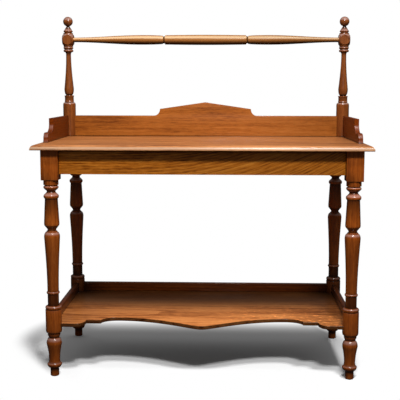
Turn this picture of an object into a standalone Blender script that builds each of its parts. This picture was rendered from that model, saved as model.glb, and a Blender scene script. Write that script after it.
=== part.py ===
"""A turned washstand: a moulded top with a shaped gallery and a towel rail, on four turned legs
that carry a low shelf with a serpentine front. Metres, +Z up, the front faces -Y, and the origin
lies on the floor under the middle of the top."""

import math

import bmesh
import bpy
from mathutils import Euler, Matrix, Vector
from mathutils.geometry import interpolate_bezier

# Clearance between pieces that touch
FIT = 0.0003

# Top board
TOP_WIDTH = 1.067
TOP_DEPTH = 0.546
TOP_HEIGHT = 0.755
TOP_THICKNESS = 0.0165
TOP_MOULDING = 0.012
TOP_LOWER_ARRIS = 0.002
FRONT_OVERHANG = 0.0265
SIDE_OVERHANG = 0.028
BACK_OVERHANG = 0.0095

# Square blocks of the legs, and the aprons that are tenoned into them
LEG_BLOCK = 0.054
LEG_BLOCK_HEIGHT = 0.096
LEG_BLOCK_CHAMFER = 0.001
APRON_HEIGHT = 0.0775
APRON_THICKNESS = 0.018
APRON_SETBACK = 0.0165
TENON_LENGTH = 0.016
TENON_THICKNESS = 0.010
TENON_SHOULDER = 0.010

# Leg turning below the block, from the top down
LEG_NECK_RADIUS = 0.0238
LEG_NECK_HEIGHT = 0.016
LEG_QUIRK_RADIUS = 0.0198
LEG_QUIRK_HEIGHT = 0.0028
LEG_UPPER_BEAD_RADIUS = 0.0240
LEG_UPPER_BEAD_HEIGHT = 0.0088
LEG_COVE_LIP_RADIUS = 0.0215
LEG_COVE_RADIUS = 0.0138
LEG_COVE_HEIGHT = 0.009
LEG_LOWER_BEAD_RADIUS = 0.0243
LEG_LOWER_BEAD_RISE = 0.0151
LEG_LOWER_BEAD_HEIGHT = 0.008
LEG_VASE_NECK_RADIUS = 0.0204
LEG_VASE_RADIUS = 0.0243
LEG_VASE_HEIGHT = 0.0795
LEG_VASE_BASE_RADIUS = 0.0225
LEG_VASE_BASE_HEIGHT = 0.008
LEG_WAIST_RADIUS = 0.0140
LEG_WAIST_TAPER_HEIGHT = 0.011
LEG_WAIST_HEIGHT = 0.006
LEG_COLLAR_RADIUS = 0.0172
LEG_COLLAR_HEIGHT = 0.003
LEG_SHOULDER_RADIUS = 0.0252
LEG_SHOULDER_HEIGHT = 0.016

# Leg turning above the floor, from the foot up
LEG_STUB_RADIUS = 0.0140
LEG_STUB_HEIGHT = 0.028
LEG_STUB_ARRIS = 0.002
LEG_FOOT_RING_RADIUS = 0.0238
LEG_FOOT_RING_HEIGHT = 0.013
LEG_FOOT_FLARE_HEIGHT = 0.0135
LEG_ANKLE_RADIUS = 0.0178
LEG_BULB_TAPER_HEIGHT = 0.0535
LEG_BULB_RADIUS = 0.0247
LEG_BULB_SHOULDER_HEIGHT = 0.0205
LEG_DRUM_NECK_RADIUS = 0.0134
LEG_DRUM_CUP_RADIUS = 0.0206
LEG_DRUM_CUP_HEIGHT = 0.014
LEG_DRUM_FILLET_HEIGHT = 0.003
LEG_DRUM_LOWER_RADIUS = 0.0235
LEG_DRUM_RADIUS = 0.0260
LEG_DRUM_ROUND_HEIGHT = 0.010
LEG_DRUM_HEIGHT = 0.0753
LEG_GROOVE_RADIUS = 0.0240
LEG_GROOVE_HEIGHT = 0.002
LEG_DRUM_BEAD_HEIGHT = 0.012
LEG_SHANK_RADIUS = 0.0180
LEG_SHANK_HEIGHT = 0.038
LEG_RING_RADIUS = 0.0210
LEG_RING_HEIGHT = 0.008
LEG_TAPER_RADIUS = 0.0182

# Stretchers housed in the drums of the legs
STRETCHER_THICKNESS = 0.016
STRETCHER_HEIGHT = 0.051
STRETCHER_RISE = 0.0115
STRETCHER_HOUSING = 0.013

# Shelf, housed in the stretchers and scooped round the drums, with a serpentine front
SHELF_THICKNESS = 0.012
SHELF_ROUND = 0.004
SHELF_DROP = 0.0315
SHELF_HOUSING = 0.005
SHELF_LUG_PROJECTION = 0.0105
SHELF_LUG_LENGTH = 0.0735
SHELF_LUG_CURVE = 0.027
SHELF_FLAT_SETBACK = 0.044
SHELF_FLAT_LENGTH = 0.048
SHELF_OGEE_WIDTH = 0.055
SHELF_OGEE_DEPTH = 0.036
SHELF_BOW_DEPTH = 0.097
SHELF_BOW_TIP_HANDLE = 0.036
SHELF_BOW_FLANK_HANDLE = 0.143

# Posts at the back corners of the top, from the top board up
POST_SIDE_INSET = 0.033
POST_BACK_INSET = 0.023
POST_SPIGOT_RADIUS = 0.009
POST_SPIGOT_LENGTH = 0.012
POST_DRUM_RADIUS = 0.0229
POST_DRUM_HEIGHT = 0.1127
POST_SHOULDER_RADIUS = 0.0188
POST_SHOULDER_HEIGHT = 0.0095
POST_QUIRK_RADIUS = 0.0160
POST_QUIRK_HEIGHT = 0.002
POST_RING_RADIUS = 0.0173
POST_RING_HEIGHT = 0.0235
POST_ANKLE_RADIUS = 0.0120
POST_ANKLE_HEIGHT = 0.003
POST_VASE_RADIUS = 0.0172
POST_VASE_BASE_HEIGHT = 0.0215
POST_VASE_HEIGHT = 0.124
POST_NECK_RADIUS = 0.0089
POST_FLARE_RADIUS = 0.0135
POST_FLARE_HEIGHT = 0.0085
POST_LOWER_BEAD_RADIUS = 0.0178
POST_LOWER_BEAD_HEIGHT = 0.009
POST_GROOVE_RADIUS = 0.0145
POST_GROOVE_HEIGHT = 0.002
POST_UPPER_BEAD_RADIUS = 0.0177
POST_UPPER_BEAD_HEIGHT = 0.0075
POST_COLLAR_RADIUS = 0.0155
POST_COLLAR_HEIGHT = 0.0015

# Rail blocks of the posts: square in plan, with lathe-rounded ends
POST_BLOCK = 0.040
POST_BLOCK_HEIGHT = 0.048
POST_BLOCK_ROUND_HEIGHT = 0.022
POST_BLOCK_END_RADIUS = 0.0182
POST_BLOCK_BARREL_RADIUS = 0.0296

# Ball finials on the posts
FINIAL_SPIGOT_RADIUS = 0.005
FINIAL_SPIGOT_LENGTH = 0.012
FINIAL_BASE_RADIUS = 0.0135
FINIAL_BASE_HEIGHT = 0.0025
FINIAL_COLLAR_RADIUS = 0.0165
FINIAL_COLLAR_HEIGHT = 0.0065
FINIAL_CONE_RADIUS = 0.0148
FINIAL_CONE_HEIGHT = 0.0154
FINIAL_NECK_RADIUS = 0.0054
FINIAL_BALL_RADIUS = 0.0174

# Turned towel rail between the rail blocks
RAIL_TENON_LENGTH = 0.012
RAIL_TIP_RADIUS = 0.0083
RAIL_SWELL_RADIUS = 0.0171
RAIL_SWELL_LENGTH = 0.074
RAIL_LIP_RADIUS = 0.0142
RAIL_NOTCH_RADIUS = 0.0115
RAIL_NOTCH_WIDTH = 0.009
RAIL_MIDDLE_LENGTH = 0.292
RAIL_MIDDLE_END_RADIUS = 0.0167
RAIL_MIDDLE_RADIUS = 0.0181

# Back panel between the posts, with a low pediment
PANEL_THICKNESS = 0.015
PANEL_HEIGHT = 0.075
PANEL_HOUSING = 0.008
PEDIMENT_HALF_WIDTH = 0.1665
PEDIMENT_COVE_WIDTH = 0.022
PEDIMENT_SHOULDER_RISE = 0.0245
PEDIMENT_PEAK_RISE = 0.0245

# Side pieces of the gallery, with a scrolled front end
SIDE_THICKNESS = 0.015
SIDE_HEIGHT = 0.075
SIDE_HOUSING = 0.0119
SIDE_FLUSH = 0.0074
SIDE_SETBACK = 0.125
SIDE_SCROLL_LENGTH = 0.098
SIDE_SCOOP_DROP = 0.018
SIDE_COVE_LENGTH = 0.047
SIDE_COVE_HEIGHT = 0.028
SIDE_STEP = 0.002
SIDE_NOSE_RADIUS = 0.021
SIDE_NOSE_RAKE = 0.004

# Dowels that hold the gallery to the top
DOWEL_RADIUS = 0.004
DOWEL_IN_TOP = 0.011
DOWEL_IN_BOARD = 0.022
BACK_DOWEL_COUNT = 3
SIDE_DOWEL_COUNT = 2
DOWEL_MARGIN_BACK = 0.1465
DOWEL_MARGIN_SIDE = 0.1035

# Glue blocks rubbed into the corners under the top
GLUE_BLOCK_SIDE = 0.022
GLUE_BLOCK_LENGTH = 0.060
GLUE_BLOCK_CHAMFER = 0.012
LONG_GLUE_BLOCK_COUNT = 3
SHORT_GLUE_BLOCK_COUNT = 2
GLUE_BLOCK_MARGIN_LONG = 0.152
GLUE_BLOCK_MARGIN_SHORT = 0.1115

# Facets round the turned work, and along each quarter curve
TURN_STEPS = 16
ROD_STEPS = 12
ARC_STEPS = 3
BEAD_STEPS = 2
SWEEP_STEPS = 9

# How far a turned end runs on inside the square that it grows from
TURN_SINK = 0.004

# Points nearer than this are one point, and edges sharper than this are not shaded smooth
WELD = 0.00001
SMOOTH_ANGLE = math.radians(40)

# Colours and gloss of the woods
MAHOGANY = (0.205, 0.062, 0.022)
MAHOGANY_DARK = (0.150, 0.043, 0.016)
MAHOGANY_GOLD = (0.285, 0.098, 0.034)
DEAL = (0.520, 0.350, 0.190)
BEECH = (0.480, 0.300, 0.170)
POLISHED = 0.32
BARE = 0.70

# Places that follow from the sizes above
TOP_UNDERSIDE = TOP_HEIGHT - TOP_THICKNESS
FRAME_TOP = TOP_UNDERSIDE - FIT
LEG_BLOCK_BOTTOM = FRAME_TOP - LEG_BLOCK_HEIGHT
LEG_X = TOP_WIDTH / 2 - SIDE_OVERHANG - LEG_BLOCK / 2
LEG_FRONT_Y = -TOP_DEPTH / 2 + FRONT_OVERHANG + LEG_BLOCK / 2
LEG_BACK_Y = TOP_DEPTH / 2 - BACK_OVERHANG - LEG_BLOCK / 2
APRON_OFFSET = LEG_BLOCK / 2 - APRON_SETBACK - APRON_THICKNESS / 2

LEG_ANKLE_Z = LEG_STUB_HEIGHT + LEG_FOOT_RING_HEIGHT + LEG_FOOT_FLARE_HEIGHT
LEG_NECK_Z = LEG_ANKLE_Z + LEG_BULB_TAPER_HEIGHT + LEG_BULB_SHOULDER_HEIGHT
LEG_DRUM_BOTTOM = LEG_NECK_Z + LEG_DRUM_CUP_HEIGHT + LEG_DRUM_FILLET_HEIGHT
STRETCHER_BOTTOM = LEG_DRUM_BOTTOM + STRETCHER_RISE
STRETCHER_TOP = STRETCHER_BOTTOM + STRETCHER_HEIGHT
STRETCHER_END = LEG_DRUM_RADIUS - STRETCHER_HOUSING
SHELF_TOP = STRETCHER_TOP - SHELF_DROP
SHELF_X = LEG_X - STRETCHER_THICKNESS / 2 + SHELF_HOUSING
SHELF_BACK_Y = LEG_BACK_Y - STRETCHER_THICKNESS / 2 + SHELF_HOUSING

POST_X = TOP_WIDTH / 2 - POST_SIDE_INSET
POST_Y = TOP_DEPTH / 2 - POST_BACK_INSET
GALLERY_Z = TOP_HEIGHT + FIT
POST_BLOCK_BOTTOM = GALLERY_Z + sum((
    POST_DRUM_HEIGHT, POST_SHOULDER_HEIGHT, POST_QUIRK_HEIGHT, POST_RING_HEIGHT, POST_ANKLE_HEIGHT,
    POST_VASE_BASE_HEIGHT, POST_VASE_HEIGHT, POST_FLARE_HEIGHT, POST_LOWER_BEAD_HEIGHT,
    POST_GROOVE_HEIGHT, POST_UPPER_BEAD_HEIGHT, POST_COLLAR_HEIGHT,
))
POST_TOP = POST_BLOCK_BOTTOM + POST_BLOCK_HEIGHT
RAIL_Z = POST_BLOCK_BOTTOM + POST_BLOCK_HEIGHT / 2
RAIL_HALF_SPAN = POST_X - POST_BLOCK / 2
PANEL_END_X = POST_X - POST_DRUM_RADIUS + PANEL_HOUSING
SIDE_X = POST_X + POST_DRUM_RADIUS - SIDE_FLUSH - SIDE_THICKNESS / 2
SIDE_BACK_Y = POST_Y - POST_DRUM_RADIUS + SIDE_HOUSING
SIDE_NOSE_Y = -TOP_DEPTH / 2 + SIDE_SETBACK

for leftover in list(bpy.data.objects):
    bpy.data.objects.remove(leftover)
PARTS = bpy.data.collections.new("washstand")
CUTTERS = bpy.data.collections.new("washstand_cutters")
bpy.context.scene.collection.children.link(PARTS)
bpy.context.scene.collection.children.link(CUTTERS)
ROOT = bpy.data.objects.new("washstand_origin", None)
PARTS.objects.link(ROOT)


# Making and joining solids


def add_part(name, mesh, location=(0.0, 0.0, 0.0), rotation=(0.0, 0.0, 0.0)):
    """Link a mesh as one piece of the stand."""
    part = bpy.data.objects.new(name, mesh)
    part.location = location
    part.rotation_euler = rotation
    part.parent = ROOT
    PARTS.objects.link(part)
    return part


def as_cutter(part):
    """Turn a piece into a hidden tool for cutting or joining."""
    PARTS.objects.unlink(part)
    CUTTERS.objects.link(part)
    part.hide_render = True
    part.display_type = "WIRE"
    return part


def combine(part, tool, operation):
    """Cut, join or intersect a piece with a hidden tool."""
    boolean = part.modifiers.new(operation.lower() + "_" + tool.name, "BOOLEAN")
    boolean.operation = operation
    boolean.solver = "EXACT"
    boolean.object = tool


def box(name, low, high):
    """A plain board between two corners."""
    low = Vector(low)
    high = Vector(high)
    solid = bmesh.new()
    bmesh.ops.create_cube(solid, size=1.0)
    bmesh.ops.scale(solid, vec=high - low, verts=solid.verts)
    mesh = bpy.data.meshes.new(name)
    solid.to_mesh(mesh)
    solid.free()
    return add_part(name, mesh, (low + high) / 2)


def rod(name, radius, length, location, rotation=(0.0, 0.0, 0.0)):
    """A round rod, upright unless it is turned, centred on its location."""
    solid = bmesh.new()
    bmesh.ops.create_cone(
        solid, cap_ends=True, segments=ROD_STEPS, radius1=radius, radius2=radius, depth=length
    )
    mesh = bpy.data.meshes.new(name)
    solid.to_mesh(mesh)
    solid.free()
    mesh.shade_smooth()
    mesh.set_sharp_from_angle(angle=SMOOTH_ANGLE)
    return add_part(name, mesh, location, rotation)


def board(name, outline, thickness, matrix, edge_round=0.0):
    """A flat board with a shaped outline, made from a filled 2D curve."""
    curve = bpy.data.curves.new(name, "CURVE")
    curve.dimensions = "2D"
    curve.fill_mode = "BOTH"
    curve.extrude = thickness / 2 - edge_round
    curve.bevel_depth = edge_round
    curve.bevel_resolution = 1
    curve.offset = -edge_round
    spline = curve.splines.new("POLY")
    spline.points.add(len(outline) - 1)
    for point, (x, y) in zip(spline.points, outline):
        point.co = (x, y, 0.0, 1.0)
    spline.use_cyclic_u = True
    pattern = bpy.data.objects.new(name + "_pattern", curve)
    PARTS.objects.link(pattern)
    pattern.matrix_world = matrix
    bpy.context.view_layer.update()
    drawn = pattern.evaluated_get(bpy.context.evaluated_depsgraph_get())
    mesh = bpy.data.meshes.new_from_object(drawn)
    mesh.name = name
    placed = pattern.matrix_world.copy()
    bpy.data.objects.remove(pattern)
    solid = bmesh.new()
    solid.from_mesh(mesh)
    bmesh.ops.remove_doubles(solid, verts=solid.verts, dist=WELD)
    bmesh.ops.recalc_face_normals(solid, faces=solid.faces)
    solid.to_mesh(mesh)
    solid.free()
    mesh.materials.clear()
    part = add_part(name, mesh)
    part.matrix_world = placed
    return part


def quarter(start, end, leaves, steps):
    """Points of a quarter ellipse after its start; it leaves along the first axis or the second."""
    points = []
    for step in range(1, steps + 1):
        angle = math.pi / 2 * step / steps
        ahead = math.sin(angle)
        late = 1.0 - math.cos(angle)
        if leaves == "second":
            ahead, late = late, ahead
        points.append((
            start[0] + (end[0] - start[0]) * ahead,
            start[1] + (end[1] - start[1]) * late,
        ))
    return points


class Turning:
    """A turner's outline, drawn from the top of the work down to its foot."""

    def __init__(self, height, radius):
        self.points = [(0.0, height), (radius, height)]

    def step(self, radius):
        """A square step in or out."""
        self.points.append((radius, self.points[-1][1]))

    def taper(self, radius, drop):
        """A straight run."""
        self.points.append((radius, self.points[-1][1] - drop))

    def curve(self, radius, drop, leaves, steps=ARC_STEPS):
        """A quarter round or hollow that leaves "level" or "upright"."""
        start = self.points[-1]
        axis = "first" if leaves == "level" else "second"
        self.points += quarter(start, (radius, start[1] - drop), axis, steps)

    def bead(self, radius, height, foot_radius):
        """A half-round ring."""
        self.curve(radius, height / 2, "level", BEAD_STEPS)
        self.curve(foot_radius, height / 2, "upright", BEAD_STEPS)

    def sweep(self, radius, drop, steps=ARC_STEPS):
        """A long run that changes fast at first and ends upright."""
        radius_0, height_0 = self.points[-1]
        for step in range(1, steps + 1):
            share = step / steps
            eased = math.sin(math.pi / 2 * share)
            self.points.append((radius_0 + (radius - radius_0) * eased, height_0 - drop * share))

    def swell(self, radius, drop, steps=ARC_STEPS):
        """A long run that starts upright and changes fast at last."""
        radius_0, height_0 = self.points[-1]
        for step in range(1, steps + 1):
            share = step / steps
            eased = 1.0 - math.cos(math.pi / 2 * share)
            self.points.append((radius_0 + (radius - radius_0) * eased, height_0 - drop * share))

    def ogee(self, radius, drop, steps=ARC_STEPS):
        """A run that starts and ends upright."""
        radius_0, height_0 = self.points[-1]
        for step in range(1, steps + 1):
            share = step / steps
            eased = (1.0 - math.cos(math.pi * share)) / 2
            self.points.append((radius_0 + (radius - radius_0) * eased, height_0 - drop * share))

    def finish(self):
        """Close the outline on the axis and give it back."""
        self.points.append((0.0, self.points[-1][1]))
        return self.points


def turned(name, profile, location, rotation=(0.0, 0.0, 0.0)):
    """A piece turned about its own Z axis from a profile."""
    mesh = bpy.data.meshes.new(name)
    points = [(radius, 0.0, height) for radius, height in profile]
    edges = [(index, index + 1) for index in range(len(points) - 1)]
    mesh.from_pydata(points, edges, [])
    part = add_part(name, mesh, location, rotation)
    lathe = part.modifiers.new("lathe", "SCREW")
    lathe.axis = "Z"
    lathe.angle = 2 * math.pi
    lathe.steps = TURN_STEPS
    lathe.render_steps = TURN_STEPS
    lathe.use_merge_vertices = True
    lathe.merge_threshold = WELD
    lathe.use_smooth_shade = True
    return part


def finish(part, colour, roughness):
    """Give a piece its own wood material."""
    material = bpy.data.materials.new(part.name + "_wood")
    material.use_nodes = True
    shader = material.node_tree.nodes["Principled BSDF"]
    shader.inputs["Base Color"].default_value = (*colour, 1.0)
    shader.inputs["Roughness"].default_value = roughness
    shader.inputs["Metallic"].default_value = 0.0
    part.data.materials.clear()
    part.data.materials.append(material)


SIDES = (("left", -1), ("right", 1))


# Legs: one turned profile, with a square block at the top


def leg_profile():
    """The leg's outline, whose long taper takes up what the other members leave."""
    turning = Turning(LEG_BLOCK_BOTTOM + TURN_SINK, LEG_NECK_RADIUS)
    turning.taper(LEG_NECK_RADIUS, TURN_SINK + LEG_NECK_HEIGHT)
    turning.step(LEG_QUIRK_RADIUS)
    turning.taper(LEG_QUIRK_RADIUS, LEG_QUIRK_HEIGHT)
    turning.bead(LEG_UPPER_BEAD_RADIUS, LEG_UPPER_BEAD_HEIGHT, LEG_COVE_LIP_RADIUS)
    turning.ogee(LEG_COVE_RADIUS, LEG_COVE_HEIGHT)
    turning.ogee(LEG_LOWER_BEAD_RADIUS, LEG_LOWER_BEAD_RISE)
    turning.curve(LEG_VASE_NECK_RADIUS, LEG_LOWER_BEAD_HEIGHT, "upright", BEAD_STEPS)
    turning.taper(LEG_VASE_RADIUS, LEG_VASE_HEIGHT)
    turning.curve(LEG_VASE_BASE_RADIUS, LEG_VASE_BASE_HEIGHT, "upright", BEAD_STEPS)
    turning.taper(LEG_WAIST_RADIUS, LEG_WAIST_TAPER_HEIGHT)
    turning.taper(LEG_WAIST_RADIUS, LEG_WAIST_HEIGHT)
    turning.step(LEG_COLLAR_RADIUS)
    turning.taper(LEG_COLLAR_RADIUS, LEG_COLLAR_HEIGHT)
    turning.curve(LEG_SHOULDER_RADIUS, LEG_SHOULDER_HEIGHT, "level")
    ring_top = (
        LEG_DRUM_BOTTOM + LEG_DRUM_HEIGHT + LEG_GROOVE_HEIGHT + LEG_DRUM_BEAD_HEIGHT
        + LEG_SHANK_HEIGHT + LEG_RING_HEIGHT
    )
    turning.sweep(LEG_TAPER_RADIUS, turning.points[-1][1] - ring_top)
    turning.bead(LEG_RING_RADIUS, LEG_RING_HEIGHT, LEG_SHANK_RADIUS)
    turning.taper(LEG_SHANK_RADIUS, LEG_SHANK_HEIGHT)
    turning.bead(LEG_DRUM_RADIUS, LEG_DRUM_BEAD_HEIGHT, LEG_GROOVE_RADIUS)
    turning.taper(LEG_GROOVE_RADIUS, LEG_GROOVE_HEIGHT)
    turning.step(LEG_DRUM_RADIUS)
    turning.taper(LEG_DRUM_RADIUS, LEG_DRUM_HEIGHT - LEG_DRUM_ROUND_HEIGHT)
    turning.curve(LEG_DRUM_LOWER_RADIUS, LEG_DRUM_ROUND_HEIGHT, "upright", BEAD_STEPS)
    turning.step(LEG_DRUM_CUP_RADIUS)
    turning.taper(LEG_DRUM_CUP_RADIUS, LEG_DRUM_FILLET_HEIGHT)
    turning.curve(LEG_DRUM_NECK_RADIUS, LEG_DRUM_CUP_HEIGHT, "upright", BEAD_STEPS)
    turning.curve(LEG_BULB_RADIUS, LEG_BULB_SHOULDER_HEIGHT, "level")
    turning.sweep(LEG_ANKLE_RADIUS, LEG_BULB_TAPER_HEIGHT)
    turning.taper(LEG_FOOT_RING_RADIUS, LEG_FOOT_FLARE_HEIGHT)
    turning.curve(LEG_STUB_RADIUS, LEG_FOOT_RING_HEIGHT, "upright", BEAD_STEPS)
    turning.taper(LEG_STUB_RADIUS, LEG_STUB_HEIGHT - LEG_STUB_ARRIS)
    turning.taper(LEG_STUB_RADIUS - LEG_STUB_ARRIS, LEG_STUB_ARRIS)
    return turning.finish()


LEG_PROFILE = leg_profile()
LEGS = {}
for side, x_sign in SIDES:
    for end, leg_y in (("front", LEG_FRONT_Y), ("back", LEG_BACK_Y)):
        leg_name = f"leg_{end}_{side}"
        leg = turned(leg_name, LEG_PROFILE, (x_sign * LEG_X, leg_y, 0.0))
        centre = Vector((x_sign * LEG_X, leg_y, 0.0))
        half = Vector((LEG_BLOCK / 2, LEG_BLOCK / 2, 0.0))
        block = box(
            leg_name + "_block",
            centre - half + Vector((0.0, 0.0, LEG_BLOCK_BOTTOM)),
            centre + half + Vector((0.0, 0.0, FRAME_TOP)),
        )
        edge = block.modifiers.new("arris", "BEVEL")
        edge.width = LEG_BLOCK_CHAMFER
        edge.segments = 1
        combine(leg, as_cutter(block), "UNION")
        finish(leg, MAHOGANY, POLISHED)
        LEGS[end, side] = leg


# Aprons: plain boards whose tenons stand in mortises in the blocks


def apron(name, centre, along_x, half_span, ends):
    """An apron whose shoulders meet two leg blocks, each cut for its tenon."""
    spread = Matrix.Identity(3) if along_x else Matrix(((0, 1, 0), (1, 0, 0), (0, 0, 1)))
    middle = Vector((*centre, FRAME_TOP - APRON_HEIGHT / 2))

    def tool(label, half_length, half_thickness, half_height):
        half = spread @ Vector((half_length, half_thickness, half_height))
        return box(name + label, middle - half, middle + half)

    tenon_half_height = APRON_HEIGHT / 2 - TENON_SHOULDER
    part = tool("", half_span - FIT, APRON_THICKNESS / 2, APRON_HEIGHT / 2)
    part.name = name
    tenon = tool("_tenon", half_span + TENON_LENGTH, TENON_THICKNESS / 2, tenon_half_height)
    combine(part, as_cutter(tenon), "UNION")
    mortise = tool(
        "_mortise", half_span + TENON_LENGTH + FIT, TENON_THICKNESS / 2 + FIT, tenon_half_height + FIT
    )
    as_cutter(mortise)
    for leg in ends:
        combine(leg, mortise, "DIFFERENCE")
    return part


LONG_HALF_SPAN = LEG_X - LEG_BLOCK / 2
SHORT_HALF_SPAN = (LEG_BACK_Y - LEG_FRONT_Y - LEG_BLOCK) / 2
MIDDLE_Y = (LEG_FRONT_Y + LEG_BACK_Y) / 2
APRON_FRONT_Y = LEG_FRONT_Y - APRON_OFFSET
APRON_BACK_Y = LEG_BACK_Y + APRON_OFFSET
APRON_X = LEG_X + APRON_OFFSET
for end, apron_y in (("front", APRON_FRONT_Y), ("back", APRON_BACK_Y)):
    rail = apron(
        f"apron_{end}", (0.0, apron_y), True, LONG_HALF_SPAN, (LEGS[end, "left"], LEGS[end, "right"])
    )
    finish(rail, MAHOGANY_GOLD, POLISHED)
for side, x_sign in SIDES:
    rail = apron(
        f"apron_{side}", (x_sign * APRON_X, MIDDLE_Y), False, SHORT_HALF_SPAN,
        (LEGS["front", side], LEGS["back", side]),
    )
    finish(rail, MAHOGANY, POLISHED)


# Stretchers: boards on edge, housed in the drums, and grooved for the shelf


def housed_board(name, low, high, growth, ends):
    """A board let into two drums, each cut with a little room round it."""
    part = box(name, low, high)
    room = as_cutter(box(name + "_housing", Vector(low) - growth, Vector(high) + growth))
    for leg in ends:
        combine(leg, room, "DIFFERENCE")
    return part


HALF_STRETCHER = STRETCHER_THICKNESS / 2
HOUSING_ROOM = Vector((FIT, FIT, FIT))
STRETCHERS = []
for side, x_sign in SIDES:
    stretcher = housed_board(
        f"stretcher_{side}",
        (x_sign * LEG_X - HALF_STRETCHER, LEG_FRONT_Y + STRETCHER_END, STRETCHER_BOTTOM),
        (x_sign * LEG_X + HALF_STRETCHER, LEG_BACK_Y - STRETCHER_END, STRETCHER_TOP),
        HOUSING_ROOM,
        (LEGS["front", side], LEGS["back", side]),
    )
    STRETCHERS.append(stretcher)
STRETCHERS.append(housed_board(
    "stretcher_back",
    (-LEG_X + STRETCHER_END, LEG_BACK_Y - HALF_STRETCHER, STRETCHER_BOTTOM),
    (LEG_X - STRETCHER_END, LEG_BACK_Y + HALF_STRETCHER, STRETCHER_TOP),
    HOUSING_ROOM,
    (LEGS["back", "left"], LEGS["back", "right"]),
))
for stretcher in STRETCHERS:
    finish(stretcher, MAHOGANY_DARK, POLISHED)


# Shelf: a thin board with a serpentine front


def bezier(start, start_handle, end_handle, end, steps):
    """Points of a curve after its start."""
    corners = [Vector((*point, 0.0)) for point in (start, start_handle, end_handle, end)]
    return [(point.x, point.y) for point in interpolate_bezier(*corners, steps + 1)[1:]]


def shelf_outline():
    """The right half from the middle of the front round to the back, then its mirror image."""
    lug_y = LEG_FRONT_Y - SHELF_LUG_PROJECTION
    flat_y = lug_y + SHELF_FLAT_SETBACK
    deep_y = flat_y + SHELF_OGEE_DEPTH
    bow_y = deep_y - SHELF_BOW_DEPTH
    lug_x = LEG_X - SHELF_LUG_LENGTH
    flat_end_x = lug_x - SHELF_LUG_CURVE
    flat_start_x = flat_end_x - SHELF_FLAT_LENGTH
    deep_x = flat_start_x - SHELF_OGEE_WIDTH
    half = [(0.0, bow_y)]
    half += bezier(
        (0.0, bow_y), (SHELF_BOW_TIP_HANDLE, bow_y),
        (deep_x - SHELF_BOW_FLANK_HANDLE, deep_y), (deep_x, deep_y), SWEEP_STEPS,
    )
    half += quarter((deep_x, deep_y), (flat_start_x, flat_y), "first", ARC_STEPS)
    half.append((flat_end_x, flat_y))
    half += quarter((flat_end_x, flat_y), (lug_x, lug_y), "second", ARC_STEPS)
    half += [(SHELF_X, lug_y), (SHELF_X, SHELF_BACK_Y)]
    return half + [(-x, y) for x, y in reversed(half[1:])]


SHELF_MIDDLE_Z = SHELF_TOP - SHELF_THICKNESS / 2
shelf = board(
    "shelf", shelf_outline(), SHELF_THICKNESS, Matrix.Translation((0.0, 0.0, SHELF_MIDDLE_Z)), SHELF_ROUND
)
finish(shelf, MAHOGANY_GOLD, POLISHED)
groove = as_cutter(box(
    "shelf_groove",
    (-SHELF_X - FIT, LEG_FRONT_Y - LEG_DRUM_RADIUS, SHELF_TOP - SHELF_THICKNESS - FIT),
    (SHELF_X + FIT, SHELF_BACK_Y + FIT, SHELF_TOP + FIT),
))
for stretcher in STRETCHERS:
    combine(stretcher, groove, "DIFFERENCE")
for (end, side), leg in LEGS.items():
    scoop = rod(
        f"shelf_scoop_{end}_{side}",
        (LEG_DRUM_RADIUS + FIT) / math.cos(math.pi / ROD_STEPS),
        2 * STRETCHER_HEIGHT,
        (leg.location.x, leg.location.y, SHELF_MIDDLE_Z),
    )
    combine(shelf, as_cutter(scoop), "DIFFERENCE")


# Top board, moulded along the front and the sides


def moulded_top():
    """The top, with a quarter-round moulding over a small lower arris."""
    solid = bmesh.new()
    bmesh.ops.create_cube(solid, size=1.0)
    bmesh.ops.scale(solid, vec=(TOP_WIDTH, TOP_DEPTH, TOP_THICKNESS), verts=solid.verts)
    for upper, width, steps in ((1, TOP_MOULDING, ARC_STEPS + 1), (-1, TOP_LOWER_ARRIS, 1)):
        rim = []
        for line in solid.edges:
            middle = (line.verts[0].co + line.verts[1].co) / 2
            on_face = middle.z * upper > TOP_THICKNESS / 2 - FIT
            upright = abs(line.verts[0].co.z - line.verts[1].co.z) > FIT
            at_back = middle.y > TOP_DEPTH / 2 - FIT
            if on_face and not upright and not at_back:
                rim.append(line)
        bmesh.ops.bevel(
            solid, geom=rim, offset=width, segments=steps, profile=0.5, affect="EDGES", material=-1
        )
    mesh = bpy.data.meshes.new("top_board")
    solid.to_mesh(mesh)
    solid.free()
    return add_part("top_board", mesh, (0.0, 0.0, TOP_HEIGHT - TOP_THICKNESS / 2))


top_board = moulded_top()
finish(top_board, MAHOGANY_GOLD, POLISHED)


# Posts: turned, with a square rail block and a spigot into the top


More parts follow.
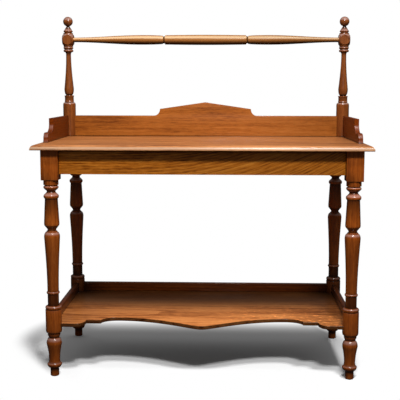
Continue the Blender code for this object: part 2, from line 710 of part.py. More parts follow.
def post_profile():
    """The post's outline below its rail block."""
    turning = Turning(POST_BLOCK_BOTTOM + TURN_SINK, POST_COLLAR_RADIUS)
    turning.taper(POST_COLLAR_RADIUS, TURN_SINK + POST_COLLAR_HEIGHT)
    turning.bead(POST_UPPER_BEAD_RADIUS, POST_UPPER_BEAD_HEIGHT, POST_GROOVE_RADIUS)
    turning.taper(POST_GROOVE_RADIUS, POST_GROOVE_HEIGHT)
    turning.bead(POST_LOWER_BEAD_RADIUS, POST_LOWER_BEAD_HEIGHT, POST_FLARE_RADIUS)
    turning.curve(POST_NECK_RADIUS, POST_FLARE_HEIGHT, "level", BEAD_STEPS)
    turning.swell(POST_VASE_RADIUS, POST_VASE_HEIGHT, ARC_STEPS + 1)
    turning.curve(POST_ANKLE_RADIUS, POST_VASE_BASE_HEIGHT, "upright")
    turning.taper(POST_ANKLE_RADIUS, POST_ANKLE_HEIGHT)
    turning.step(POST_RING_RADIUS)
    turning.taper(POST_RING_RADIUS, POST_RING_HEIGHT)
    turning.step(POST_QUIRK_RADIUS)
    turning.taper(POST_QUIRK_RADIUS, POST_QUIRK_HEIGHT)
    turning.step(POST_SHOULDER_RADIUS)
    turning.curve(POST_DRUM_RADIUS, POST_SHOULDER_HEIGHT, "level")
    turning.taper(POST_DRUM_RADIUS, POST_DRUM_HEIGHT)
    turning.step(POST_SPIGOT_RADIUS)
    turning.taper(POST_SPIGOT_RADIUS, POST_SPIGOT_LENGTH)
    return turning.finish()


def rail_block_profile():
    """The barrel that rounds the ends of the square rail block; the block's corners meet it mid-facet."""
    turning = Turning(POST_TOP, POST_BLOCK_END_RADIUS)
    turning.curve(POST_BLOCK_BARREL_RADIUS, POST_BLOCK_ROUND_HEIGHT, "level")
    turning.taper(POST_BLOCK_BARREL_RADIUS, POST_BLOCK_HEIGHT - 2 * POST_BLOCK_ROUND_HEIGHT)
    turning.curve(POST_BLOCK_END_RADIUS, POST_BLOCK_ROUND_HEIGHT, "upright")
    return turning.finish()


POSTS = {}
for side, x_sign in SIDES:
    place = (x_sign * POST_X, POST_Y, 0.0)
    post = turned(f"post_{side}", post_profile(), place)
    barrel = turned(f"post_{side}_barrel", rail_block_profile(), place, (0.0, 0.0, math.pi / TURN_STEPS))
    square = as_cutter(box(
        f"post_{side}_square",
        (place[0] - POST_BLOCK / 2, place[1] - POST_BLOCK / 2, POST_BLOCK_BOTTOM - TURN_SINK),
        (place[0] + POST_BLOCK / 2, place[1] + POST_BLOCK / 2, POST_TOP + TURN_SINK),
    ))
    combine(barrel, square, "INTERSECT")
    combine(post, as_cutter(barrel), "UNION")
    spigot_hole = rod(
        f"post_{side}_hole", POST_SPIGOT_RADIUS + 2 * FIT, 2 * (POST_SPIGOT_LENGTH + FIT),
        (place[0], place[1], TOP_HEIGHT),
    )
    combine(top_board, as_cutter(spigot_hole), "DIFFERENCE")
    finish(post, MAHOGANY, POLISHED)
    POSTS[side] = post


# Finials: ball, neck and collar, on a spigot in the top of the post


def finial_profile():
    """The finial's outline, whose ball runs down to the thin neck."""
    base = POST_TOP + FIT
    neck_angle = math.pi - math.asin(FINIAL_NECK_RADIUS / FINIAL_BALL_RADIUS)
    neck_drop = FINIAL_BALL_RADIUS * math.cos(neck_angle)
    neck_z = base + FINIAL_BASE_HEIGHT + FINIAL_COLLAR_HEIGHT + FINIAL_CONE_HEIGHT
    ball_z = neck_z - neck_drop
    steps = 3 * ARC_STEPS
    turning = Turning(ball_z + FINIAL_BALL_RADIUS, 0.0)
    turning.points.pop()
    for step in range(1, steps + 1):
        angle = neck_angle * step / steps
        turning.points.append((
            FINIAL_BALL_RADIUS * math.sin(angle), ball_z + FINIAL_BALL_RADIUS * math.cos(angle),
        ))
    turning.taper(FINIAL_CONE_RADIUS, FINIAL_CONE_HEIGHT)
    turning.bead(FINIAL_COLLAR_RADIUS, FINIAL_COLLAR_HEIGHT, FINIAL_BASE_RADIUS)
    turning.taper(FINIAL_BASE_RADIUS, FINIAL_BASE_HEIGHT)
    turning.step(FINIAL_SPIGOT_RADIUS)
    turning.taper(FINIAL_SPIGOT_RADIUS, FINIAL_SPIGOT_LENGTH)
    return turning.finish()


for side, x_sign in SIDES:
    finial = turned(f"finial_{side}", finial_profile(), (x_sign * POST_X, POST_Y, 0.0))
    finish(finial, MAHOGANY, POLISHED)
    socket = rod(
        f"finial_{side}_socket", FINIAL_SPIGOT_RADIUS + 2 * FIT, 2 * (FINIAL_SPIGOT_LENGTH + FIT),
        (x_sign * POST_X, POST_Y, POST_TOP),
    )
    combine(POSTS[side], as_cutter(socket), "DIFFERENCE")


# Towel rail: turned, with its ends let into the rail blocks


def rail_profile():
    """The rail's outline: tip, swell, notch and half of the middle, then the same reflected."""
    tip = RAIL_HALF_SPAN + RAIL_TENON_LENGTH
    notch_x = RAIL_MIDDLE_LENGTH / 2 + RAIL_NOTCH_WIDTH / 2
    turning = Turning(tip, RAIL_TIP_RADIUS)
    turning.taper(RAIL_TIP_RADIUS, RAIL_TENON_LENGTH)
    swell_x = notch_x + RAIL_NOTCH_WIDTH / 2 + RAIL_SWELL_LENGTH
    turning.ogee(RAIL_SWELL_RADIUS, RAIL_HALF_SPAN - swell_x, ARC_STEPS + 2)
    turning.curve(RAIL_LIP_RADIUS, RAIL_SWELL_LENGTH, "upright")
    turning.taper(RAIL_NOTCH_RADIUS, RAIL_NOTCH_WIDTH / 2)
    turning.taper(RAIL_MIDDLE_END_RADIUS, RAIL_NOTCH_WIDTH / 2)
    turning.sweep(RAIL_MIDDLE_RADIUS, RAIL_MIDDLE_LENGTH / 2)
    half = turning.points
    return half + [(radius, -height) for radius, height in reversed(half[:-1])]


towel_rail = turned("towel_rail", rail_profile(), (0.0, POST_Y, RAIL_Z), (0.0, math.pi / 2, 0.0))
finish(towel_rail, MAHOGANY_GOLD, POLISHED)
for side, x_sign in SIDES:
    socket = rod(
        f"rail_{side}_socket", RAIL_TIP_RADIUS + 2 * FIT, 2 * (RAIL_TENON_LENGTH + FIT),
        (x_sign * RAIL_HALF_SPAN, POST_Y, RAIL_Z), (0.0, math.pi / 2, 0.0),
    )
    combine(POSTS[side], as_cutter(socket), "DIFFERENCE")


# Gallery: shaped boards on the top, housed in the posts

UPRIGHT_ACROSS = Euler((math.pi / 2, 0.0, 0.0)).to_matrix().to_4x4()
UPRIGHT_ALONG = Euler((math.pi / 2, 0.0, math.pi / 2)).to_matrix().to_4x4()


def panel_outline():
    """The back panel seen from the front, up from the top board, with coves and a low peak."""
    shoulder = PANEL_HEIGHT + PEDIMENT_SHOULDER_RISE
    foot_x = PEDIMENT_HALF_WIDTH + PEDIMENT_COVE_WIDTH
    half = [(PANEL_END_X, 0.0), (PANEL_END_X, PANEL_HEIGHT), (foot_x, PANEL_HEIGHT)]
    half += quarter((foot_x, PANEL_HEIGHT), (PEDIMENT_HALF_WIDTH, shoulder), "first", ARC_STEPS + 1)
    peak = (0.0, shoulder + PEDIMENT_PEAK_RISE)
    return half + [peak] + [(-x, z) for x, z in reversed(half)]


def side_outline():
    """A side piece seen from the right, from the post forward: scoop, step and rounded nose."""
    corner_y = SIDE_NOSE_Y + SIDE_SCROLL_LENGTH
    scoop_z = SIDE_HEIGHT - SIDE_SCOOP_DROP
    cove_y = corner_y - SIDE_COVE_LENGTH
    cove_z = scoop_z - SIDE_COVE_HEIGHT
    scroll_z = cove_z + SIDE_STEP
    brow_y = SIDE_NOSE_Y + SIDE_NOSE_RAKE
    outline = [(SIDE_BACK_Y, 0.0), (SIDE_BACK_Y, SIDE_HEIGHT), (corner_y, SIDE_HEIGHT), (corner_y, scoop_z)]
    outline += quarter((corner_y, scoop_z), (cove_y, cove_z), "second", ARC_STEPS + 1)
    outline += [(cove_y, scroll_z), (brow_y + SIDE_NOSE_RADIUS, scroll_z)]
    outline += quarter(
        (brow_y + SIDE_NOSE_RADIUS, scroll_z), (brow_y, scroll_z - SIDE_NOSE_RADIUS), "first", ARC_STEPS + 1
    )
    return outline + [(SIDE_NOSE_Y, 0.0)]


back_panel = board(
    "back_panel", panel_outline(), PANEL_THICKNESS,
    Matrix.Translation((0.0, POST_Y, GALLERY_Z)) @ UPRIGHT_ACROSS,
)
finish(back_panel, MAHOGANY_GOLD, POLISHED)
GALLERY_SIDES = {}
for side, x_sign in SIDES:
    gallery_side = board(
        f"gallery_side_{side}", side_outline(), SIDE_THICKNESS,
        Matrix.Translation((x_sign * SIDE_X, 0.0, GALLERY_Z)) @ UPRIGHT_ALONG,
    )
    finish(gallery_side, MAHOGANY, POLISHED)
    GALLERY_SIDES[side] = gallery_side
    panel_slot = box(
        f"panel_slot_{side}",
        (-PANEL_END_X - FIT, POST_Y - PANEL_THICKNESS / 2 - FIT, TOP_HEIGHT),
        (PANEL_END_X + FIT, POST_Y + PANEL_THICKNESS / 2 + FIT, GALLERY_Z + PANEL_HEIGHT + FIT),
    )
    side_slot = box(
        f"side_slot_{side}",
        (x_sign * SIDE_X - SIDE_THICKNESS / 2 - FIT, SIDE_NOSE_Y, TOP_HEIGHT),
        (x_sign * SIDE_X + SIDE_THICKNESS / 2 + FIT, SIDE_BACK_Y + FIT, GALLERY_Z + SIDE_HEIGHT + FIT),
    )
    combine(POSTS[side], as_cutter(panel_slot), "DIFFERENCE")
    combine(POSTS[side], as_cutter(side_slot), "DIFFERENCE")


# Dowels between the top and the gallery


def dowel(name, x, y, upper):
    """A dowel, and the hole for it in the top and in the board above."""
    length = DOWEL_IN_TOP + DOWEL_IN_BOARD
    place = (x, y, TOP_HEIGHT + (DOWEL_IN_BOARD - DOWEL_IN_TOP) / 2)
    finish(rod(name, DOWEL_RADIUS, length, place), BEECH, BARE)
    hole = as_cutter(rod(name + "_hole", DOWEL_RADIUS + FIT, length + 2 * FIT, place))
    combine(top_board, hole, "DIFFERENCE")
    combine(upper, hole, "DIFFERENCE")


def in_row(count, half_length, margin):
    """Numbers from 1, each with its offset from the middle of a row that stops a margin short of both ends."""
    spacing = 2 * (half_length - margin) / (count - 1)
    return [(number + 1, margin - half_length + number * spacing) for number in range(count)]


for number, offset in in_row(BACK_DOWEL_COUNT, PANEL_END_X, DOWEL_MARGIN_BACK):
    dowel(f"dowel_back_{number}", offset, POST_Y, back_panel)
SIDE_MIDDLE_Y = (SIDE_NOSE_Y + SIDE_BACK_Y) / 2
SIDE_HALF_LENGTH = (SIDE_BACK_Y - SIDE_NOSE_Y) / 2
for side, x_sign in SIDES:
    for number, offset in in_row(SIDE_DOWEL_COUNT, SIDE_HALF_LENGTH, DOWEL_MARGIN_SIDE):
        dowel(f"dowel_{side}_{number}", x_sign * SIDE_X, SIDE_MIDDLE_Y + offset, GALLERY_SIDES[side])


# Glue blocks in the corners between the aprons and the top


def glue_block(name, location, turn):
    """A square block with its free edge taken off; its glued faces are the top one and local -Y."""
    solid = bmesh.new()
    bmesh.ops.create_cube(solid, size=1.0)
    bmesh.ops.scale(solid, vec=(GLUE_BLOCK_LENGTH, GLUE_BLOCK_SIDE, GLUE_BLOCK_SIDE), verts=solid.verts)
    free_edge = [
        line for line in solid.edges if all(vert.co.y > 0.0 and vert.co.z < 0.0 for vert in line.verts)
    ]
    bmesh.ops.bevel(
        solid, geom=free_edge, offset=GLUE_BLOCK_CHAMFER, segments=1, profile=0.5, affect="EDGES", material=-1
    )
    mesh = bpy.data.meshes.new(name)
    solid.to_mesh(mesh)
    solid.free()
    finish(add_part(name, mesh, location, (0.0, 0.0, turn)), DEAL, BARE)


BLOCK_REACH = APRON_THICKNESS / 2 + FIT + GLUE_BLOCK_SIDE / 2
BLOCK_Z = FRAME_TOP - GLUE_BLOCK_SIDE / 2
for number, offset in in_row(LONG_GLUE_BLOCK_COUNT, LONG_HALF_SPAN, GLUE_BLOCK_MARGIN_LONG):
    glue_block(f"glue_block_front_{number}", (offset, APRON_FRONT_Y + BLOCK_REACH, BLOCK_Z), 0.0)
    glue_block(f"glue_block_back_{number}", (offset, APRON_BACK_Y - BLOCK_REACH, BLOCK_Z), math.pi)
for side, x_sign in SIDES:
    for number, offset in in_row(SHORT_GLUE_BLOCK_COUNT, SHORT_HALF_SPAN, GLUE_BLOCK_MARGIN_SHORT):
        place = (x_sign * (APRON_X - BLOCK_REACH), MIDDLE_Y + offset, BLOCK_Z)
        glue_block(f"glue_block_{side}_{number}", place, x_sign * math.pi / 2)
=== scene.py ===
import math

import bmesh
import bpy
from mathutils import Matrix, Vector


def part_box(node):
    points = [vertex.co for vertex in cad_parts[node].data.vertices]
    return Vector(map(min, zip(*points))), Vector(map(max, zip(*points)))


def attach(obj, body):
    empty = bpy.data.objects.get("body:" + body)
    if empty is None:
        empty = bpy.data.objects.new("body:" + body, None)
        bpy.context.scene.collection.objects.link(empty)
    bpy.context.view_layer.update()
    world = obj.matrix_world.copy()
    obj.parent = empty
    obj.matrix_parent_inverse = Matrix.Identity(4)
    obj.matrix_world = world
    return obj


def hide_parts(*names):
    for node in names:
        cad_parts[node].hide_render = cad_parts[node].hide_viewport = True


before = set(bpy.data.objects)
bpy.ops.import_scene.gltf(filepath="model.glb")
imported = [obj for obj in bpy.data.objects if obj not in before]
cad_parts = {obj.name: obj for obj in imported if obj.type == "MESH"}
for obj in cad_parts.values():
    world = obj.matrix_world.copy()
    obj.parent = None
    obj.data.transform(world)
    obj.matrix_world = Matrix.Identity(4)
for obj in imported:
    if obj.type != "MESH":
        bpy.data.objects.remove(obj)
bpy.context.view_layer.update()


# Camera
# It stands in front of the stand and a little to its right, at the height of the gallery, and looks
# slightly down. The place and the lens are those that put the corners where the photograph has them.
CAMERA_PLACE = (0.07646, -2.91191, 0.93248)
CAMERA_YAW = 0.03028
CAMERA_PITCH = 0.13024
CAMERA_ROLL = 0.00146
CAMERA_FOCAL_PIXELS = 858.36
IMAGE_PIXELS = 400
SENSOR_MM = 36.0

camera_lens = bpy.data.cameras.new("camera")
camera_lens.sensor_width = SENSOR_MM
camera_lens.lens = CAMERA_FOCAL_PIXELS / IMAGE_PIXELS * SENSOR_MM
camera = bpy.data.objects.new("camera", camera_lens)
camera.matrix_world = (
    Matrix.Translation(CAMERA_PLACE)
    @ Matrix.Rotation(CAMERA_YAW, 4, "Z")
    @ Matrix.Rotation(math.pi / 2 - CAMERA_PITCH, 4, "X")
    @ Matrix.Rotation(CAMERA_ROLL, 4, "Z")
)
bpy.context.scene.collection.objects.link(camera)
bpy.context.scene.camera = camera
bpy.context.scene.view_settings.view_transform = "Standard"


# Studio
# A plain floor that the camera sees as white wherever the lamps reach it and beyond, a white backdrop, a
# small soft box in front and above, and a larger one much higher. The rest of the room is dim.
FLOOR_HALF_SIZE = 14.0
FLOOR_GREY = 0.14
FLOOR_IN_POLISH = 0.03
FLOOR_SEEN = (0.98, 0.98, 0.98)
FLOOR_SPOT_CENTRE = (-0.03, 0.11)
FLOOR_SPOT_RADII = (0.72, 0.54)
FLOOR_SPOT_TURN = math.radians(-22.6)
FLOOR_SPOT_FADE = (0.84, 1.0)
FLOOR_FRONT_FADE = (-0.12, -0.16)
FLOOR_FRONT_ENDS = (0.38, 0.46)
FLOOR_RIGHT_FADE = (0.51, 0.57)
FLOOR_BACK_FADE = (0.25, 0.44)
FLOOR_BACK_FALL = 2.5
FLOOR_BACK_ENDS = (0.42, 0.52)
ROOM_LIGHT = 0.14
ROOM_IN_POLISH = 0.02
BACKDROP_LIGHT = 0.22
BACKDROP_IN_POLISH = 0.06
BACKDROP_SPREAD = (0.0, 0.6)
CEILING_IN_POLISH = 0.3
CEILING_SPREAD = (0.40, 0.75)
KEY_PLACE = (0.30, -1.87, 2.18)
KEY_AIM = (0.0, 0.0, 0.60)
KEY_SIZE = (0.36, 0.28)
KEY_WATTS = 42.0
CEILING_PLACE = (1.19, -3.85, 7.50)
CEILING_AIM = (0.0, 0.0, 0.50)
CEILING_SIZE = (1.1, 1.1)
CEILING_WATTS = 390.0


def node(tree, kind, **settings):
    """Add a shader node and set its properties."""
    made = tree.nodes.new(kind)
    for key, value in settings.items():
        setattr(made, key, value)
    return made


def plug(tree, source, target):
    """Join an output socket to an input socket."""
    tree.links.new(source, target)


def maths(tree, operation, *values):
    """Work out a value from sockets or numbers."""
    made = node(tree, "ShaderNodeMath", operation=operation)
    for socket, value in zip(made.inputs, values):
        if isinstance(value, float):
            socket.default_value = value
        else:
            plug(tree, value, socket)
    return made.outputs["Value"]


def ranged(tree, value, low, high, to_low, to_high, kind="LINEAR"):
    """Carry a value from one range to another, and hold it there."""
    made = node(tree, "ShaderNodeMapRange", interpolation_type=kind)
    for key, number in zip(("From Min", "From Max", "To Min", "To Max"), (low, high, to_low, to_high)):
        made.inputs[key].default_value = number
    plug(tree, value, made.inputs["Value"])
    return made.outputs["Result"]


def axes_of(tree, vector):
    """The three parts of a vector, by the name of the axis."""
    made = node(tree, "ShaderNodeSeparateXYZ")
    plug(tree, vector, made.inputs["Vector"])
    return made.outputs


floor_work = bmesh.new()
bmesh.ops.create_grid(floor_work, x_segments=1, y_segments=1, size=FLOOR_HALF_SIZE)
floor_mesh = bpy.data.meshes.new("floor")
floor_work.to_mesh(floor_mesh)
floor_work.free()
floor = bpy.data.objects.new("floor", floor_mesh)
bpy.context.scene.collection.objects.link(floor)

# The floor shows its shade in a spot round the stand, and is plain white to the camera farther out. Behind
# the back legs, near the front of the shelf and to the right of the stand it is white too, painted over
# part of the stand's shadow
floor_paint = bpy.data.materials.new("floor_paint")
floor_paint.use_nodes = True
tree = floor_paint.node_tree
tree.nodes.clear()
light_path = node(tree, "ShaderNodeLightPath")
dull = node(tree, "ShaderNodeBsdfDiffuse")
grey = ranged(tree, light_path.outputs["Is Glossy Ray"], 0.0, 1.0, FLOOR_GREY, FLOOR_IN_POLISH)
plug(tree, grey, dull.inputs["Color"])
bright = node(tree, "ShaderNodeBsdfDiffuse")
bright.inputs["Color"].default_value = (*FLOOR_SEEN, 1.0)
white = node(tree, "ShaderNodeEmission")
white.inputs["Color"].default_value = (1.0, 1.0, 1.0, 1.0)
white.inputs["Strength"].default_value = 1.0
spot = node(tree, "ShaderNodeMapping", vector_type="TEXTURE")
spot.inputs["Location"].default_value = (*FLOOR_SPOT_CENTRE, 0.0)
spot.inputs["Scale"].default_value = (*FLOOR_SPOT_RADII, 1.0)
spot.inputs["Rotation"].default_value = (0.0, 0.0, FLOOR_SPOT_TURN)
floor_place = node(tree, "ShaderNodeTexCoord").outputs["Object"]
plug(tree, floor_place, spot.inputs["Vector"])
distance = node(tree, "ShaderNodeVectorMath", operation="LENGTH")
plug(tree, spot.outputs["Vector"], distance.inputs[0])
far = ranged(tree, distance.outputs["Value"], *FLOOR_SPOT_FADE, 0.0, 1.0, "SMOOTHSTEP")
floor_axes = axes_of(tree, floor_place)
aside = maths(tree, "ABSOLUTE", floor_axes["X"])
behind = ranged(tree, floor_axes["Y"], *FLOOR_BACK_FADE, 0.0, 1.0)
behind = maths(tree, "POWER", behind, FLOOR_BACK_FALL)
behind = maths(tree, "MULTIPLY", behind, ranged(tree, aside, *FLOOR_BACK_ENDS, 1.0, 0.0))
before = ranged(tree, floor_axes["Y"], *FLOOR_FRONT_FADE, 0.0, 1.0, "SMOOTHSTEP")
before = maths(tree, "MULTIPLY", before, ranged(tree, aside, *FLOOR_FRONT_ENDS, 1.0, 0.0))
right = ranged(tree, floor_axes["X"], *FLOOR_RIGHT_FADE, 0.0, 1.0, "SMOOTHSTEP")
for region in (right, before, behind):
    far = maths(tree, "MAXIMUM", far, region)
seen_floor = node(tree, "ShaderNodeMixShader")
plug(tree, far, seen_floor.inputs["Fac"])
plug(tree, bright.outputs["BSDF"], seen_floor.inputs[1])
plug(tree, white.outputs["Emission"], seen_floor.inputs[2])
choose = node(tree, "ShaderNodeMixShader")
plug(tree, light_path.outputs["Is Camera Ray"], choose.inputs["Fac"])
plug(tree, dull.outputs["BSDF"], choose.inputs[1])
plug(tree, seen_floor.outputs["Shader"], choose.inputs[2])
plug(tree, choose.outputs["Shader"], node(tree, "ShaderNodeOutputMaterial").inputs["Surface"])
floor_mesh.materials.append(floor_paint)

# The world is white to the camera. The backdrop lights the back a little, and polish sees a dim room
# with a pale ceiling
world = bpy.data.worlds.new("studio")
world.use_nodes = True
bpy.context.scene.world = world
tree = world.node_tree
tree.nodes.clear()
light_path = node(tree, "ShaderNodeLightPath")
glossy, through = (light_path.outputs[ray] for ray in ("Is Glossy Ray", "Is Transmission Ray"))
mirrored = maths(tree, "MAXIMUM", glossy, through)
sky_axes = axes_of(tree, node(tree, "ShaderNodeTexCoord").outputs["Generated"])
at_back = ranged(tree, sky_axes["Y"], *BACKDROP_SPREAD, 0.0, 1.0, "SMOOTHSTEP")
backdrop = ranged(tree, mirrored, 0.0, 1.0, BACKDROP_LIGHT, BACKDROP_IN_POLISH)
backdrop = maths(tree, "MULTIPLY", backdrop, at_back)
ceiling = ranged(tree, sky_axes["Z"], *CEILING_SPREAD, 0.0, CEILING_IN_POLISH, "SMOOTHSTEP")
ceiling = maths(tree, "MULTIPLY", mirrored, ceiling)
room = ranged(tree, mirrored, 0.0, 1.0, ROOM_LIGHT, ROOM_IN_POLISH)
room = maths(tree, "ADD", room, maths(tree, "MAXIMUM", backdrop, ceiling))
background = node(tree, "ShaderNodeBackground")
background.inputs["Color"].default_value = (1.0, 1.0, 1.0, 1.0)
strength = maths(tree, "MAXIMUM", light_path.outputs["Is Camera Ray"], room)
plug(tree, strength, background.inputs["Strength"])
plug(tree, background.outputs["Background"], node(tree, "ShaderNodeOutputWorld").inputs["Surface"])


def soft_box(name, place, aim, size, watts):
    """A rectangular lamp that looks at a point."""
    lamp = bpy.data.lights.new(name, "AREA")
    lamp.shape = "RECTANGLE"
    lamp.size, lamp.size_y = size
    lamp.energy = watts
    holder = bpy.data.objects.new(name, lamp)
    holder.location = place
    holder.rotation_euler = (Vector(aim) - Vector(place)).to_track_quat("-Z", "Y").to_euler()
    bpy.context.scene.collection.objects.link(holder)


soft_box("key_box", KEY_PLACE, KEY_AIM, KEY_SIZE, KEY_WATTS)
soft_box("ceiling_box", CEILING_PLACE, CEILING_AIM, CEILING_SIZE, CEILING_WATTS)


# Legs
# Four turned legs of mahogany, each from one square length. The top stays square as a block for the
# aprons' tenons, and a plain drum near the foot is cut to house the stretchers.
SIDES = {"left": -1, "right": 1}
CLEARANCE = 0.0003
WELD = 0.00001
SMOOTH_ANGLE = math.radians(32)
TURN_STEPS = 72
BEAD_STEPS = 7
TURN_SINK = 0.004
TURN_ARRIS = 0.0004


def middle_of(node_name):
    """The middle of a CAD node's box."""
    low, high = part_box(node_name)
    return (low + high) / 2


leg_low, leg_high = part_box("leg_front_right")
LEG_X = middle_of("leg_front_right").x
LEG_Y = {end: middle_of(f"leg_{end}_right").y for end in ("front", "back")}
LEG_BLOCK = leg_high.x - leg_low.x
LEG_BLOCK_TOP = leg_high.z
LEG_BLOCK_HEIGHT = 0.096
LEG_BLOCK_BOTTOM = LEG_BLOCK_TOP - LEG_BLOCK_HEIGHT
LEG_BLOCK_ARRIS = 0.0013
APRON_SHOULDERS = (0.004, 0.010)

# Members of the leg's turning as (radius, height), from the block down
LEG_NECK = (0.0238, 0.0160)
LEG_QUIRK = (0.0198, 0.0028)
LEG_UPPER_BEAD = (0.0240, 0.0088)
LEG_COVE_LIP_RADIUS = 0.0215
LEG_COVE = (0.0138, 0.0090)
LEG_LOWER_BEAD = (0.0243, 0.0151)
LEG_VASE_NECK = (0.0204, 0.0080)
LEG_VASE = (0.0243, 0.0795)
LEG_VASE_BASE = (0.0225, 0.0080)
LEG_WAIST_TAPER = (0.0140, 0.0110)
LEG_WAIST = (0.0140, 0.0060)
LEG_COLLAR = (0.0172, 0.0030)
LEG_SHOULDER = (0.0252, 0.0160)
LEG_TAPER_RADIUS = 0.0182
LEG_TAPER_STEPS = 24
LEG_RING_TOP = 0.2808
LEG_RING = (0.0210, 0.0080)
LEG_SHANK = (0.0180, 0.0380)
LEG_DRUM_BEAD = (0.0260, 0.0120)
LEG_GROOVE = (0.0240, 0.0020)
LEG_DRUM = (0.0260, 0.0653)
LEG_DRUM_ROUND = (0.0235, 0.0100)
LEG_FILLET = (0.0206, 0.0030)
LEG_DRUM_NECK = (0.0134, 0.0140)
LEG_BULB = (0.0247, 0.0205)
LEG_ANKLE = (0.0178, 0.0535)
LEG_FOOT_RING = (0.0238, 0.0135)
LEG_FOOT_CUP = (0.0140, 0.0130)
LEG_STUB = (0.0140, 0.0260)
LEG_STUB_END = (0.0120, 0.0020)

# Polished mahogany from dark to pale, and a pale pink painted highlight for its crests. Each noise in the
# grain is given by its scale along and across the grain, its detail and its roughness
MAHOGANY = ((0.122, 0.023, 0.002), (0.284, 0.061, 0.005), (0.424, 0.110, 0.013))
PINK_HIGHLIGHT = (0.46, 0.29, 0.25)
TONE_PLACES = (0.05, 0.5, 0.95)
GRAIN_TURNS = {"X": (0.0, 0.0, 0.0), "Y": (0.0, 0.0, -math.pi / 2), "Z": (0.0, math.pi / 2, 0.0)}
DRIFT_NOISE = ((1.4, 7.0, 7.0), 2.0, 0.55)
CLOUD_NOISE = ((2.2, 11.0, 11.0), 3.0, 0.55)
STREAK_NOISE = ((5.0, 170.0, 170.0), 4.0, 0.65)
FLECK_NOISE = ((36.0, 290.0, 290.0), 3.0, 0.55)
PORE_NOISE = ((60.0, 950.0, 950.0), 2.0, 0.55)
SCUFF_NOISE = ((55.0, 95.0, 95.0), 3.0, 0.7)
RING_WAVER = 1.2
RING_WAVER_DETAIL = 2.0
RING_WAVER_SCALE = 0.6
NOISE_SPREAD = (0.25, 0.75)
PORE_EDGE = (0.60, 0.74)
PORE_DEPTH = 0.6
SCUFF_EDGE = (0.55, 0.66)
SCUFF_PALE = 0.8
# Crests a little paler with wear, and quirks painted near-black with shade
CREST_PALE = 1.15
QUIRK_DEPTH = 0.8
QUIRK_SHADE = 0.08
UNDERSIDE_TILT = -0.70
EDGE_TILT = (0.70, 0.97)
# The band of upward lean that gets a painted highlight, and how deep a quirk cuts it off
HIGHLIGHT_BAND = (0.1, 0.4)
HIGHLIGHT_QUIRK = 0.4
POLISH_SPREAD = (0.2, 0.8)
POLISH_ROUGHNESS = (0.30, 0.46)
POLISH_COAT_ROUGHNESS = 0.22
POLISH_COAT_IOR = 1.5
WOOD_SPECULAR = 0.06
RELIEF_STRENGTH = 0.15
RELIEF_DEPTH = 0.0002
TURNED_GRAIN = {"rings": 22.0, "figure": 0.10, "streaks": 0.14}
LEG_GRAIN_SHIFT = {"front": 0.0, "back": 0.17}
# The legs are darker towards the foot
LEG_DARKER_SPAN = (0.54, 0.38)
LEG_DARKER_FOOT = {"front": 0.68, "back": 0.85}
# Painted shade round the back legs above the shelf, where the top and aprons keep the light out
BACK_SHADE_Z = 0.175
BACK_SHADE_REACH = 0.16
BACK_SHADE_DEPTH = 0.06
BACK_CORNER_SHADE = tuple(
    ((x_sign * LEG_X, LEG_Y["back"], BACK_SHADE_Z), BACK_SHADE_REACH, BACK_SHADE_DEPTH)
    for x_sign in SIDES.values()
)


def quarter(start, end, level_first, steps):
    """Points of a quarter ellipse after its start. It leaves along the radius or along the height."""
    points = []
    for step in range(1, steps + 1):
        angle = math.pi / 2 * step / steps
        ahead, late = math.sin(angle), 1.0 - math.cos(angle)
        if not level_first:
            ahead, late = late, ahead
        points.append((start[0] + (end[0] - start[0]) * ahead, start[1] + (end[1] - start[1]) * late))
    return points


class Turning:
    """A turner's outline, as (radius, height), drawn from the top of the work down."""

    def __init__(self, height, radius=0.0):
        self.points = [(0.0, height)]
        if radius:
            self.step(radius)

    def step(self, radius):
        """A square step in or out."""
        self.points.append((radius, self.points[-1][1]))

    def run(self, radius, drop):
        """A straight run."""
        self.points.append((radius, self.points[-1][1] - drop))

    def arc(self, radius, drop, leaves, steps=9):
        """A quarter round or hollow that leaves level or upright."""
        start = self.points[-1]
        self.points += quarter(start, (radius, start[1] - drop), leaves == "level", steps)

    def bead(self, radius, height, foot_radius):
        """A half-round ring."""
        self.arc(radius, height / 2, "level", BEAD_STEPS)
        self.arc(foot_radius, height / 2, "upright", BEAD_STEPS)

    def ball(self, radius, first, last, steps):
        """Part of a ball on the axis, between two angles from its crown."""
        middle = self.points[-1][1] - radius * math.cos(first)
        for step in range(1, steps + 1):
            angle = first + (last - first) * step / steps
            self.points.append((radius * math.sin(angle), middle + radius * math.cos(angle)))

    def flow(self, radius, drop, steps, eased):
        """A long run whose radius follows a curve of the share that is run."""
        start_radius, start_height = self.points[-1]
        for step in range(1, steps + 1):
            share = step / steps
            reached = start_radius + (radius - start_radius) * eased(share)
            self.points.append((reached, start_height - drop * share))

    def sweep(self, radius, drop, steps=14):
        """A long run that changes fast at first and ends upright."""
        self.flow(radius, drop, steps, lambda share: math.sin(math.pi / 2 * share))

    def swell(self, radius, drop, steps=20):
        """A long run that starts upright and changes fast at last."""
        self.flow(radius, drop, steps, lambda share: 1.0 - math.cos(math.pi / 2 * share))

    def ogee(self, radius, drop, steps=14):
        """A run that starts and ends upright."""
        self.flow(radius, drop, steps, lambda share: (1.0 - math.cos(math.pi * share)) / 2)

    def finish(self):
        """Close the outline on the axis and give it back."""
        self.step(0.0)
        return self.points


